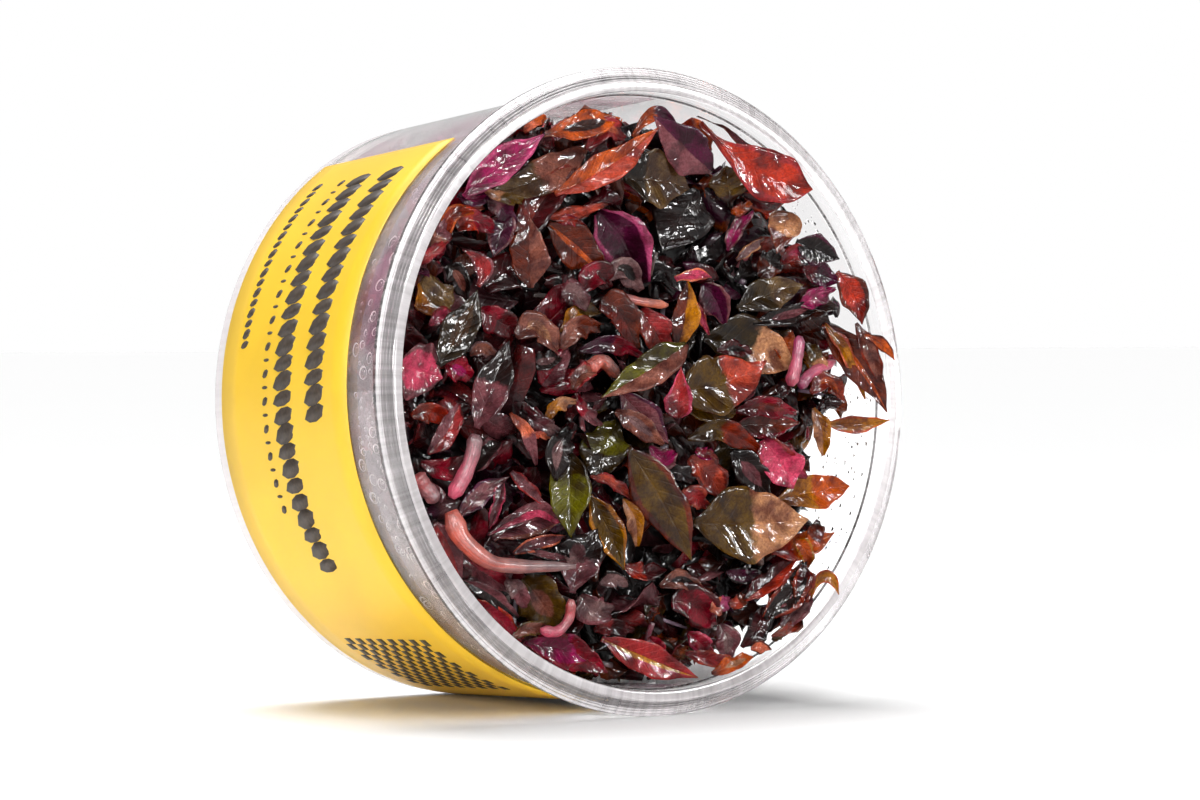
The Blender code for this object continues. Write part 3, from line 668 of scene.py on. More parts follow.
LEAVES = (
    LeafSpec("leaf_amber_top", (-16.5, 37.6, 5.6), (-2.3, 40.3, 4.6), 4.4, Tint.AMBER, Tint.UMBER,
             Marking.PATCH, widest=0.55),
    LeafSpec("leaf_magenta_top", (-30.4, 28.2, 4.4), (-16.0, 37.4, 3.4), 5.0, Tint.MAGENTA, Tint.ORCHID,
             bow=(-0.2, 0.2, 0.0)),
    LeafSpec("leaf_grey_olive_top", (-8.0, 36.6, 7.6), (-27.3, 28.6, 6.0), 5.6, Tint.TAUPE, Tint.GREY_OLIVE,
             Marking.TIP, bow=(0.6, -1.2, 0.0)),
    LeafSpec("leaf_salmon_folded", (-14.5, 28.9, 4.6), (4.6, 38.8, 2.4), 5.0, Tint.SALMON, Tint.AMBER,
             Marking.RIGHT, bow=(0.4, -0.8, 0.0), fold=22.0, wave=0.35),
    LeafSpec("leaf_olive_glossy", (-2.0, 31.4, 6.4), (9.9, 30.1, 5.0), 8.6, Tint.GREY_OLIVE, Tint.DARK_OLIVE,
             Marking.STALK, bow=(0.0, 0.6, 0.0)),
    LeafSpec("leaf_plum_folded", (14.2, 32.6, 3.6), (3.8, 40.6, 3.0), 7.0, Tint.PLUM, Tint.MAUVE,
             Marking.RIGHT, bow=(0.2, -0.4, 0.0), fold=18.0),
    LeafSpec("leaf_curled_arch", (0.2, 37.6, 5.2), (8.2, 39.6, 5.0), 2.4, Tint.AMBER, Tint.PLUM,
             Marking.TIP, bow=(-0.6, 2.5, -0.6), widest=0.5, wave=0.1),
    LeafSpec("leaf_red_orange_large", (12.4, 39.9, 4.0), (32.8, 29.9, -0.4), 8.0, Tint.RED_ORANGE, Tint.ROSE,
             Marking.EDGE, bow=(-0.6, -1.7, 0.0), widest=0.66, fold=8.0),
    LeafSpec("leaf_olive_round", (17.6, 27.6, 6.6), (17.0, 33.8, 5.6), 6.2, Tint.OLIVE, Tint.UMBER,
             Marking.STALK, widest=0.6),
    LeafSpec("leaf_charcoal_wet", (11.4, 30.4, 7.8), (4.6, 20.8, 7.0), 9.0, Tint.CHARCOAL, Tint.BLACK_RED,
             fold=6.0, wave=0.4),
    LeafSpec("leaf_tan_small", (28.4, 26.8, 3.4), (25.7, 20.4, 2.4), 5.4, Tint.TAN, Tint.BROWN,
             Marking.TIP, widest=0.3),
    LeafSpec("leaf_slate_right", (29.6, 22.4, 4.2), (37.6, 19.6, 1.4), 5.0, Tint.CHARCOAL, Tint.PLUM),
    LeafSpec("leaf_plum_right", (30.6, 18.4, 5.0), (38.0, 16.2, 2.6), 3.8, Tint.PLUM, Tint.CRIMSON,
             Marking.STALK),
    LeafSpec("leaf_red_orange_right", (37.0, 17.6, 1.2), (41.4, 9.6, 0.2), 4.8, Tint.RED_ORANGE, Tint.BROWN,
             bow=(0.9, 0.3, 0.0)),
    LeafSpec("leaf_moss_dark", (18.0, 12.2, 4.8), (30.6, 15.8, 3.0), 5.4, Tint.DARK_OLIVE, Tint.GREY_OLIVE,
             Marking.TIP, bow=(0.0, 0.5, 0.0)),
    LeafSpec("leaf_olive_upright", (6.3, 6.2, 4.8), (8.9, 16.4, 3.0), 4.4, Tint.YELLOW_OLIVE, Tint.BROWN,
             Marking.RIGHT, bow=(0.4, 0.0, -0.4), fold=20.0),
    LeafSpec("leaf_pink_tip", (6.6, 16.4, 1.4), (13.2, 16.7, 1.6), 2.0, Tint.PINK, Tint.PEACH,
             bow=(0.2, 0.5, -0.3), wave=0.1),
    LeafSpec("leaf_green_left", (8.2, 6.9, 2.8), (-7.6, -0.8, 3.4), 5.4, Tint.MOSS, Tint.TAUPE,
             Marking.RIGHT, bow=(-0.4, -0.6, 0.0), widest=0.36),
    LeafSpec("leaf_olive_salmon_tip", (6.6, 0.2, 2.8), (22.9, 4.3, 1.4), 9.2, Tint.OLIVE, Tint.SALMON,
             Marking.TIP, bow=(0.2, -1.2, 0.0), widest=0.36, wave=0.4),
    # Its tan accent towards the tip is painted sheen, the gloss of the wet blade.
    LeafSpec("leaf_olive_tan_back", (11.4, 8.0, 6.6), (28.8, 3.4, 5.0), 9.0, Tint.DARK_OLIVE, Tint.TAN,
             Marking.TIP, bow=(0.3, 0.8, 0.0)),
    LeafSpec("leaf_pink_triangle", (6.0, -4.0, 1.4), (7.0, 3.4, 0.8), 4.4, Tint.ROSE, Tint.PINK, widest=0.25),
    LeafSpec("leaf_mauve_centre", (-4.2, 0.0, 5.2), (4.2, -7.6, 4.6), 5.4, Tint.MAUVE, Tint.PLUM, wave=0.35),
    LeafSpec("leaf_green_bright", (-4.8, -4.2, 7.4), (-8.6, -13.6, 6.4), 7.2, Tint.MOSS, Tint.DARK_OLIVE,
             Marking.TIP, bow=(-1.0, 0.2, 0.0), wave=0.5),
    LeafSpec("leaf_green_boat", (-13.7, -8.4, 4.0), (-14.0, -21.0, 2.4), 7.0, Tint.MOSS, Tint.DARK_OLIVE,
             Marking.STALK, fold=28.0),
    LeafSpec("leaf_olive_long", (-3.2, -8.2, 3.6), (7.5, -25.0, 1.6), 7.4, Tint.OLIVE, Tint.BROWN,
             Marking.EDGE, bow=(0.5, 0.4, 0.0), fold=10.0),
    LeafSpec("leaf_olive_narrow", (-10.4, -15.0, 6.4), (-4.7, -26.0, 4.2), 4.8, Tint.OLIVE, Tint.YELLOW_OLIVE,
             bow=(0.4, 0.2, 0.0)),
    # Its tan accent on the tip half is painted sheen, a reflection of the light on the wet blade.
    LeafSpec("leaf_olive_large", (8.2, -19.4, 3.6), (29.6, -19.6, 1.0), 11.2, Tint.OLIVE, Tint.TAN,
             Marking.TIP, bow=(0.0, -0.4, 0.0), fold=7.0),
    LeafSpec("leaf_rust_pointed", (22.6, -24.2, 4.6), (34.6, -21.7, 3.0), 4.2, Tint.AMBER, Tint.RED_ORANGE,
             Marking.STALK, bow=(0.2, -0.6, 0.0)),
    LeafSpec("leaf_pink_hanging", (23.6, -6.9, 3.6), (27.0, -14.9, 2.2), 6.6, Tint.PINK, Tint.ROSE,
             Marking.STALK, bow=(-0.3, 0.0, 0.0), widest=0.55),
    LeafSpec("leaf_amber_right", (22.6, -17.0, 5.6), (38.0, -14.7, 4.6), 5.6, Tint.YELLOW_OLIVE, Tint.AMBER,
             Marking.TIP, bow=(0.4, 0.4, 0.0), widest=0.55),
    LeafSpec("leaf_curled_strip", (28.4, -32.6, 1.4), (34.6, -31.0, -1.6), 2.2, Tint.YELLOW_OLIVE, Tint.AMBER,
             Marking.EDGE, bow=(0.6, 3.6, 0.0), widest=0.6, wave=0.1),
    LeafSpec("leaf_brown_right", (34.0, 9.8, 3.0), (45.4, -3.8, -0.8), 5.8, Tint.BROWN, Tint.AMBER,
             Marking.STREAK, bow=(1.0, 0.8, 0.0), fold=16.0),
    LeafSpec("leaf_hooked_tip", (41.6, 7.8, -1.8), (47.2, 4.0, -2.2), 2.0, Tint.AMBER, Tint.BROWN,
             bow=(0.5, 0.5, 0.0), wave=0.1),
    LeafSpec("leaf_yellow_olive_right", (33.6, -5.2, 2.4), (45.8, -5.0, -0.8), 2.8, Tint.YELLOW_OLIVE,
             Tint.AMBER, Marking.EDGE, bow=(0.0, -0.4, 0.0)),
    LeafSpec("leaf_red_brown_wet", (16.6, -5.2, 5.8), (28.8, -5.0, 4.0), 4.4, Tint.BROWN, Tint.CRIMSON,
             wave=0.5),
    LeafSpec("leaf_pink_left", (-42.8, 4.4, 6.6), (-35.2, 2.3, 4.2), 8.6, Tint.PINK, Tint.MAUVE, fold=4.0),
    LeafSpec("leaf_pink_edged", (-35.8, 4.0, 3.4), (-28.6, 14.7, 2.4), 5.4, Tint.DARK_OLIVE, Tint.GREY_OLIVE,
             Marking.PATCH, bow=(0.5, -0.3, 0.0), fold=14.0),
    LeafSpec("leaf_grey_spear", (-29.6, -5.0, 2.4), (-23.4, 7.4, 2.0), 5.6, Tint.MAUVE, Tint.CHARCOAL,
             Marking.TIP, bow=(-0.3, 0.0, -0.4)),
    LeafSpec("leaf_pink_twist", (-28.6, 15.4, 4.6), (-31.0, 20.6, 4.8), 3.0, Tint.ROSE, Tint.MAUVE,
             bow=(2.2, 0.5, 0.0)),
    LeafSpec("leaf_olive_left", (-39.4, 12.4, 6.6), (-32.8, 15.4, 6.0), 6.8, Tint.GREY_OLIVE,
             Tint.YELLOW_OLIVE, Marking.STALK, fold=18.0, wave=0.5),
    LeafSpec("leaf_grey_pink_upper", (-19.4, 15.2, 4.2), (-19.0, 25.3, 3.6), 6.0, Tint.TAUPE, Tint.BROWN,
             Marking.RIGHT, bow=(-0.4, 0.0, -0.3)),
    LeafSpec("leaf_red_brown_gloss", (-16.0, 24.8, 6.8), (-6.0, 17.0, 5.4), 6.2, Tint.BROWN, Tint.AMBER,
             Marking.STREAK, bow=(0.4, 0.3, 0.0), wave=0.5),
    LeafSpec("leaf_purple_upper", (-22.8, 26.6, 7.0), (-25.8, 19.8, 6.6), 4.4, Tint.PLUM, Tint.MAUVE),
    LeafSpec("leaf_mauve_narrow", (-33.6, -17.7, 5.4), (-24.4, -12.0, 4.4), 3.2, Tint.MAUVE, Tint.PLUM,
             bow=(-0.4, 0.5, 0.0)),
    LeafSpec("leaf_mauve_broad", (-27.6, -20.8, 5.0), (-14.8, -18.6, 5.4), 4.6, Tint.MAUVE, Tint.TAUPE,
             bow=(0.2, 1.2, 0.0)),
    LeafSpec("leaf_spoon_grey", (-14.1, -29.0, 2.6), (-9.2, -19.9, 2.4), 6.6, Tint.MAUVE, Tint.CHARCOAL,
             Marking.TIP, bow=(-0.6, 0.3, 0.0), widest=0.5),
    LeafSpec("leaf_crimson_low", (-19.2, -35.0, 5.2), (-8.4, -40.8, 4.6), 4.8, Tint.CRIMSON, Tint.MAGENTA,
             Marking.STALK),
    LeafSpec("leaf_salmon_low", (-9.2, -35.8, 3.6), (7.8, -42.2, 0.8), 5.0, Tint.ROSE, Tint.YELLOW_OLIVE,
             Marking.STREAK, bow=(0.0, -0.2, 0.0)),
)


@dataclass(frozen=True)
class StemSpec:
    """One stem: its route and radii as packed, and its colours."""
    name: str
    route: tuple
    radii: tuple
    tint: Tint
    accent: Tint


STEMS = (
    StemSpec("stem_left_pink", ((-29.9, -5.9, 2.4), (-30.6, -8.8, 2.4), (-32.3, -12.0, 2.8), (-34.4, -14.7, 3.2)),
             (1.1, 1.1), Tint.MAUVE, Tint.PINK),
    StemSpec("stem_left_wall", ((-40.4, -11.4, 5.2), (-38.8, -13.2, 4.9), (-37.0, -15.2, 4.6)), (1.2, 1.1),
             Tint.ROSE, Tint.MAUVE),
    StemSpec("stem_left_salmon", ((-34.6, -16.7, 3.4), (-33.0, -20.5, 2.4), (-28.6, -23.9, 1.8),
                                  (-24.0, -24.8, 1.8), (-19.0, -25.0, 1.4), (-13.4, -25.2, 0.6)), (1.6, 0.6),
             Tint.SALMON, Tint.SLATE),
    StemSpec("stem_spoon_leaf", ((-14.4, -29.9, 2.8), (-14.9, -32.6, 3.2), (-17.0, -34.4, 3.4), (-19.8, -34.2, 3.2)),
             (0.7, 0.8), Tint.ROSE, Tint.PINK),
    StemSpec("stem_right_magenta", ((29.5, 8.0, 3.2), (28.7, 4.2, 2.8), (27.4, 0.6, 3.0)), (0.8, 1.0),
             Tint.MAGENTA, Tint.PINK),
    StemSpec("stem_right_branch", ((29.2, 0.4, 3.0), (31.6, 2.5, 3.2), (36.0, 4.2, 4.2)), (0.9, 0.7),
             Tint.MAGENTA, Tint.PINK),
    StemSpec("stem_centre_salmon", ((-9.6, 3.4, 4.8), (-7.2, 4.6, 5.0), (-4.4, 2.4, 5.6)), (1.1, 0.9),
             Tint.SALMON, Tint.BROWN),
    StemSpec("stem_upper_pink", ((-4.6, 14.2, 5.2), (0.2, 13.3, 4.8), (5.0, 12.8, 5.0)), (0.7, 0.6),
             Tint.ROSE, Tint.PEACH),
)


@dataclass(frozen=True)
class LooseLeaf:
    """A leaf of the tangle that shows: its midrib and widths as seen, and its colours."""
    midrib: tuple
    widths: tuple
    tint: Tint
    accent: Tint
    marking: Marking = Marking.TIP
    depth: float = 4.4
    fold: float = 24.0
    wave: float = 0.45


LOOSE_LEAVES = (
    LooseLeaf(((-19.6, 38), (-17.8, 39.3), (-15.6, 40.2)), (0.6, 1.6, 1.8, 0.5),
              Tint.PEACH, Tint.AMBER, Marking.TIP, 5.4),
    LooseLeaf(((-27.4, 29.5), (-24, 28.4), (-20.4, 27.9)), (0.3, 1.5, 2, 1.2),
              Tint.TAN, Tint.OLIVE, Marking.TIP, 4.4),
    LooseLeaf(((-10, 32.6), (-8, 35), (-5, 37.4)), (2, 5, 5, 2),
              Tint.BLACK_RED, Tint.MAROON, Marking.TIP, 8.0),
    LooseLeaf(((-8.4, 35.6), (-4.8, 38.8), (-1.6, 37.4)), (1, 3, 3, 0.8),
              Tint.ROSE, Tint.PEACH, Marking.PATCH, 5.0),
    LooseLeaf(((-20.8, 22.6), (-17, 27.6), (-11.2, 33)), (3, 5.4, 5, 1.6),
              Tint.BRICK, Tint.MAROON, Marking.LEFT, 6.0),
    LooseLeaf(((-16.4, 25.4), (-11, 26.2), (-5.2, 27.8)), (0.6, 2.2, 1.8, 0.4),
              Tint.SALMON, Tint.RUST, Marking.EDGE, 5.0),
    LooseLeaf(((-14.4, 25), (-12, 25.2), (-9.2, 24.4)), (0.4, 1.8, 1.4, 0.5),
              Tint.RED_ORANGE, Tint.CRIMSON, Marking.EDGE, 4.8),
    LooseLeaf(((-6.8, 26.6), (-2.6, 22.4), (0.9, 16.2)), (2, 8.4, 7.6, 2.4),
              Tint.PLUM, Tint.ORCHID, Marking.EDGE, 5.6),
    LooseLeaf(((-26.6, 28.2), (-24.2, 27), (-21.8, 24.6)), (0.8, 3, 3, 0.8),
              Tint.MAUVE, Tint.PLUM, Marking.TIP, 6.0),
    LooseLeaf(((-34.6, 21.4), (-32.6, 25.6), (-27.2, 26.8)), (0.8, 2.4, 2.2, 0.6),
              Tint.RUST, Tint.AMBER, Marking.EDGE, 5.0),
    LooseLeaf(((-32, 23.8), (-29, 25), (-25.6, 23.8)), (1.4, 3.6, 3.4, 1),
              Tint.RED_ORANGE, Tint.CRIMSON, Marking.TIP, 5.6),
    LooseLeaf(((-31.6, 28.6), (-28.6, 28), (-25.4, 29)), (0.6, 2.4, 2.2, 0.4),
              Tint.PLUM, Tint.MAGENTA, Marking.PATCH, 5.4),
    LooseLeaf(((-38.6, 18.4), (-36, 20.2), (-32.8, 22.4)), (0.5, 1.8, 1.6, 0.4),
              Tint.ROSE, Tint.CRIMSON, Marking.EDGE, 4.0),
    LooseLeaf(((-37, 21.2), (-35.2, 22.6), (-33.6, 24.8)), (0.8, 3, 2.8, 0.8),
              Tint.TAUPE, Tint.MAUVE, Marking.TIP, 4.8),
    LooseLeaf(((-27.6, 15.2), (-22.4, 17.8), (-17.4, 15.8)), (2, 6.2, 5.4, 2),
              Tint.MAROON, Tint.BLACK_RED, Marking.TIP, 7.0),
    LooseLeaf(((-28.4, 12.2), (-25.4, 10.6), (-21.8, 9)), (1, 4.4, 4.2, 1),
              Tint.CRIMSON, Tint.MAROON, Marking.TIP, 5.0),
    LooseLeaf(((-34.6, 4.4), (-32.6, 3.6), (-30.4, 2.4)), (1, 3.8, 3.4, 0.8),
              Tint.CRIMSON, Tint.MAGENTA, Marking.PATCH, 4.4),
    LooseLeaf(((-30.4, 5.6), (-28.2, 6.6), (-25.4, 5.4)), (0.8, 2.2, 2, 0.6),
              Tint.TAUPE, Tint.SLATE, Marking.EDGE, 4.4),
    LooseLeaf(((-22.4, 8.2), (-18.8, 9.6), (-15, 6.2)), (1.4, 4.2, 4.2, 1.4),
              Tint.TAUPE, Tint.TAN, Marking.PATCH, 4.2),
    LooseLeaf(((-20.6, 4.6), (-17.6, 4.4), (-14.6, 5.2)), (1, 3, 2.8, 0.8),
              Tint.CHARCOAL, Tint.SLATE, Marking.PATCH, 4.0),
    LooseLeaf(((-18.2, 1.2), (-15.8, 3.8), (-13.4, 7.2)), (1.4, 4.4, 3.4, 0.5),
              Tint.CRIMSON, Tint.MAUVE, Marking.LEFT, 4.8),
    LooseLeaf(((-14, 14), (-11.8, 14.4), (-9.6, 12.2)), (0.8, 3.6, 3.2, 0.8),
              Tint.SLATE, Tint.MAUVE, Marking.EDGE, 4.2),
    LooseLeaf(((-14.4, 8.8), (-11.2, 11.6), (-7.4, 11.8)), (0.6, 2.4, 2.6, 0.8),
              Tint.YELLOW_OLIVE, Tint.OLIVE, Marking.TIP, 4.8),
    LooseLeaf(((-14.4, 6.4), (-11.6, 9.4), (-7.4, 9.6)), (1, 3.2, 3.6, 1.6),
              Tint.TAUPE, Tint.BROWN, Marking.TIP, 4.0),
    LooseLeaf(((-10.6, 14.8), (-7.6, 17.4), (-5.4, 15.4)), (1.4, 4.2, 4.2, 1),
              Tint.CRIMSON, Tint.MAROON, Marking.TIP, 5.0),
    LooseLeaf(((-5.6, 16.6), (-2.6, 18.2), (0.2, 15)), (0.8, 3.6, 3.8, 1.2),
              Tint.SLATE, Tint.CHARCOAL, Marking.PATCH, 4.6),
    LooseLeaf(((-7.2, 13), (-3.8, 12), (-0.8, 6.4)), (2, 5.4, 4.4, 1.2),
              Tint.BRICK, Tint.BROWN, Marking.RIGHT, 5.0),
    LooseLeaf(((0, 12.2), (2.6, 8.8), (4.8, 5.4)), (1.8, 5, 4.4, 0.8),
              Tint.ROSE, Tint.BRICK, Marking.LEFT, 5.0),
    LooseLeaf(((-11.2, 6.2), (-5.4, 7.2), (0.2, 5.4)), (0.8, 2.8, 2.8, 0.6),
              Tint.PLUM, Tint.CRIMSON, Marking.TIP, 5.4),
    LooseLeaf(((-12.8, 0.4), (-11, 2.6), (-8.4, 3)), (0.8, 3, 2.8, 0.8),
              Tint.TAUPE, Tint.ROSE, Marking.EDGE, 4.0),
    LooseLeaf(((-37.2, 9.8), (-34.8, 11.2), (-32.4, 10.6)), (0.5, 2.4, 2.2, 0.5),
              Tint.PINK, Tint.ROSE, Marking.EDGE, 4.4),
    LooseLeaf(((-34, 18.6), (-31.8, 16.8), (-30.6, 13.6)), (0.8, 3.4, 3, 0.8),
              Tint.CHARCOAL, Tint.TAUPE, Marking.PATCH, 5.4),
    LooseLeaf(((8.4, 39.4), (11.6, 38.6), (14.2, 36)), (0.8, 3.8, 3.6, 0.6),
              Tint.AMBER, Tint.RUST, Marking.STALK, 5.0),
    LooseLeaf(((12.2, 42), (16.4, 40.2), (21, 36.8), (27.8, 33.4)), (0.6, 1.6, 1.9, 0.8),
              Tint.MAUVE, Tint.TAUPE, Marking.EDGE, 4.2),
    LooseLeaf(((17.6, 26.8), (19.4, 27.2), (21.4, 28.2)), (0.8, 2, 1.8, 0.6),
              Tint.AMBER, Tint.RUST, Marking.EDGE, 5.0),
    LooseLeaf(((20, 29.6), (24, 28.2), (27.8, 29)), (0.8, 3.2, 3, 0.8),
              Tint.MAROON, Tint.RUST, Marking.EDGE, 6.0),
    LooseLeaf(((16.6, 21), (18.4, 24), (21.8, 27)), (0.5, 2.4, 2.2, 0.5),
              Tint.MAGENTA, Tint.MAUVE, Marking.EDGE, 4.8),
    LooseLeaf(((18.2, 19.6), (21, 21.4), (23.4, 22.8)), (0.6, 1.7, 1.4, 0.4),
              Tint.SLATE, Tint.TAN, Marking.EDGE, 4.4),
    LooseLeaf(((26.8, 19.4), (29.4, 20.8), (32.2, 20.2)), (0.8, 2.6, 2.6, 0.8),
              Tint.ROSE, Tint.PINK, Marking.PATCH, 4.4),
    LooseLeaf(((22.6, 17), (24.4, 18.8), (26, 21)), (1, 4, 3.6, 1),
              Tint.BROWN, Tint.CHARCOAL, Marking.TIP, 5.4),
    LooseLeaf(((29.4, 12.6), (33, 14), (36.8, 15.4)), (0.5, 3.2, 2.6, 0.5),
              Tint.MAGENTA, Tint.ORCHID, Marking.PATCH, 3.4),
    LooseLeaf(((20.8, 10), (27, 11.2), (33.4, 12.6)), (0.8, 2.8, 3, 0.8),
              Tint.CHARCOAL, Tint.MAUVE, Marking.PATCH, 4.0),
    LooseLeaf(((11.8, 16), (14, 13.6), (15.6, 10.2)), (1.2, 4.8, 4.4, 0.8),
              Tint.PLUM, Tint.MAUVE, Marking.EDGE, 4.6),
    LooseLeaf(((10.4, 13.2), (11.2, 11), (12.4, 8.4)), (0.4, 1.3, 1.2, 0.3),
              Tint.PINK, Tint.SALMON, Marking.EDGE, 3.4),
    LooseLeaf(((13.8, 6), (17.2, 6.2), (20.4, 5.6)), (0.5, 2.6, 2.4, 0.4),
              Tint.MAROON, Tint.BLACK_RED, Marking.PATCH, 3.8),
    LooseLeaf(((24, 9), (26.6, 6.6), (28.8, 3.2)), (1, 4.4, 4, 1),
              Tint.AMBER, Tint.OLIVE, Marking.STALK, 5.8),
    LooseLeaf(((34.4, 9.8), (38, 5.6), (41.6, -1.6)), (0.6, 2.2, 2, 0.4),
              Tint.YELLOW_OLIVE, Tint.PEACH, Marking.EDGE, 1.6),
    LooseLeaf(((40.2, 9.8), (42.6, 5.4), (44.6, 0.6)), (0.6, 2.8, 2.6, 0.4),
              Tint.TAUPE, Tint.RUST, Marking.EDGE, -0.7),
    LooseLeaf(((30.8, 7.2), (32.6, 4.6), (33.6, 1.4)), (0.6, 2.6, 2.4, 0.6),
              Tint.OLIVE, Tint.TAN, Marking.TIP, 3.6),
    LooseLeaf(((31.2, -0.6), (34.4, 1.2), (37.8, -1.8)), (0.8, 3.2, 3, 0.8),
              Tint.RUST, Tint.AMBER, Marking.PATCH, 3.0),
    LooseLeaf(((18.6, -1.8), (19.8, 0.4), (20.6, 2)), (0.5, 2, 1.6, 0.3),
              Tint.MAUVE, Tint.PINK, Marking.TIP, 3.2),
    LooseLeaf(((-38.2, -8.4), (-34.8, -5.4), (-32.6, -1.4)), (0.6, 3.2, 3, 0.6),
              Tint.MAUVE, Tint.ROSE, Marking.LEFT, 4.4),
    LooseLeaf(((-39.6, -9.6), (-35, -10.6), (-30.2, -9)), (0.8, 3.4, 3.2, 0.8),
              Tint.CRIMSON, Tint.MAROON, Marking.TIP, 6.0),
    LooseLeaf(((-40.8, -3), (-37.6, -2.4), (-34, -3.6)), (0.8, 3.2, 2.8, 0.6),
              Tint.RUST, Tint.RED_ORANGE, Marking.TIP, 5.2),
    LooseLeaf(((-30.4, -11), (-28.4, -8.6), (-25.8, -7)), (1, 3.6, 3.2, 0.8),
              Tint.CHARCOAL, Tint.MAUVE, Marking.EDGE, 5.0),
    LooseLeaf(((-24, -11.2), (-21.6, -13.4), (-18.2, -16.2)), (0.8, 2, 1.8, 0.4),
              Tint.MAUVE, Tint.ROSE, Marking.EDGE, 3.0),
    LooseLeaf(((-23.8, -2.8), (-21, -5.6), (-19.6, -10.4)), (0.5, 1.8, 2, 0.4),
              Tint.PEACH, Tint.MAUVE, Marking.TIP, 3.2),
    LooseLeaf(((-25.6, -12.6), (-26.4, -15.6), (-28.2, -19.4)), (0.6, 1.9, 1.7, 0.5),
              Tint.MAUVE, Tint.PINK, Marking.EDGE, 3.6),
    LooseLeaf(((-21, -3.2), (-18, -4.8), (-14.8, -6)), (0.6, 2.6, 2.4, 0.5),
              Tint.MAUVE, Tint.SLATE, Marking.TIP, 3.8),
    LooseLeaf(((-20.4, -6.2), (-18.8, -6), (-17, -6.6)), (0.4, 1.1, 1, 0.3),
              Tint.SALMON, Tint.PEACH, Marking.TIP, 3.2),
    LooseLeaf(((-28.6, -20.2), (-24.2, -18.2), (-19.6, -16.8), (-15.8, -18.6)), (0.5, 1.8, 2.6, 0.8),
              Tint.PINK, Tint.MAUVE, Marking.RIGHT, 4.0),
    LooseLeaf(((-24.2, -23), (-19.8, -21.6), (-15, -20.8)), (0.5, 2.2, 2, 0.4),
              Tint.MAUVE, Tint.PEACH, Marking.EDGE, 3.4),
    LooseLeaf(((-22, -22.8), (-18, -23.5), (-14.2, -24.2)), (0.4, 1.5, 1.4, 0.4),
              Tint.MAUVE, Tint.CHARCOAL, Marking.EDGE, 2.6),
    LooseLeaf(((-12.4, -25.4), (-14, -22.6), (-16, -22.8)), (1.2, 3.4, 2.8, 1),
              Tint.SLATE, Tint.CHARCOAL, Marking.TIP, 2.2),
    LooseLeaf(((-37.4, -18.2), (-35.2, -21.4), (-33.4, -26.2)), (0.8, 3.4, 3.2, 0.6),
              Tint.MAUVE, Tint.ROSE, Marking.LEFT, 4.0),
    LooseLeaf(((-33.4, -22.8), (-29.8, -25.4), (-24.8, -28.2)), (0.8, 3.4, 3.4, 0.8),
              Tint.CRIMSON, Tint.MAUVE, Marking.LEFT, 5.4),
    LooseLeaf(((-32.8, -26.6), (-28.2, -28.8), (-23.8, -32.2)), (0.5, 2.4, 2.2, 0.5),
              Tint.MAUVE, Tint.CHARCOAL, Marking.LEFT, 4.0),
    LooseLeaf(((-25.8, -26.8), (-23.6, -28.4), (-22.4, -30.8)), (0.8, 2.8, 2.6, 0.6),
              Tint.SLATE, Tint.MAUVE, Marking.TIP, 3.6),
    LooseLeaf(((-31.8, -29.2), (-27.6, -31.8), (-23.4, -35.4)), (0.6, 2.6, 3, 0.8),
              Tint.CRIMSON, Tint.RED_ORANGE, Marking.EDGE, 4.6),
    LooseLeaf(((-22.8, -26.6), (-19.8, -30), (-17, -33.8)), (2.4, 7, 6.4, 2),
              Tint.OLIVE, Tint.TAUPE, Marking.PATCH, 6.4),
    LooseLeaf(((-25.2, -35.2), (-21.8, -33.8), (-18, -34)), (0.5, 2, 2.4, 0.6),
              Tint.TAUPE, Tint.OLIVE, Marking.EDGE, 4.0),
    LooseLeaf(((-22.8, -35.8), (-17.8, -36.8), (-12, -38.4)), (0.5, 4, 5.6, 1.6),
              Tint.MAGENTA, Tint.CRIMSON, Marking.EDGE, 4.8),
    LooseLeaf(((-12.8, -29.4), (-10.6, -31.6), (-6.8, -31.4)), (1, 4.6, 4, 0.5),
              Tint.SLATE, Tint.MAUVE, Marking.EDGE, 3.2),
    LooseLeaf(((-9.2, -28), (-6.6, -27.4), (-4.2, -28.2)), (0.8, 3, 2.6, 0.5),
              Tint.SLATE, Tint.CHARCOAL, Marking.EDGE, 4.0),
    LooseLeaf(((-13.4, -5.2), (-15.8, -8.4), (-16.2, -12.8)), (1, 3.8, 4, 1),
              Tint.CHARCOAL, Tint.SLATE, Marking.PATCH, 2.8),
    LooseLeaf(((-17.8, -4.2), (-15.6, -1.8), (-12.2, -1.2)), (0.5, 1.8, 2.2, 0.6),
              Tint.YELLOW_OLIVE, Tint.TAN, Marking.TIP, 3.0),
    LooseLeaf(((-12.2, 0), (-10.6, -2.8), (-7.8, -4.8)), (0.5, 1.7, 2.2, 0.5),
              Tint.CRIMSON, Tint.MAUVE, Marking.TIP, 3.8),
    LooseLeaf(((-5.2, -2.8), (-1.6, -4.4), (3.2, -7.8)), (0.8, 3.2, 3.4, 0.6),
              Tint.TAUPE, Tint.SLATE, Marking.PATCH, 4.0),
    LooseLeaf(((-4.4, -15.6), (-2.4, -18.6), (-2.2, -22.6)), (0.4, 2.4, 2.6, 0.6),
              Tint.YELLOW_OLIVE, Tint.TAN, Marking.LEFT, 2.8),
    LooseLeaf(((-10.2, -12.2), (-6.2, -13.2), (-2.8, -15.8)), (0.4, 1.8, 1.8, 0.4),
              Tint.SALMON, Tint.ROSE, Marking.EDGE, 4.4),
    LooseLeaf(((-4.8, -25.4), (-1.4, -26.6), (2.8, -26.2)), (0.8, 2.8, 2.8, 0.6),
              Tint.RED_ORANGE, Tint.MAROON, Marking.TIP, 4.4),
    LooseLeaf(((-10.6, -34.6), (-7.6, -34.2), (-3.4, -35)), (0.6, 2.6, 2.6, 0.6),
              Tint.ROSE, Tint.MAROON, Marking.TIP, 4.8),
    LooseLeaf(((-0.8, -36), (0.8, -37.4), (1.2, -39.2)), (0.8, 2.4, 2.2, 0.5),
              Tint.CRIMSON, Tint.ROSE, Marking.PATCH, 3.0),
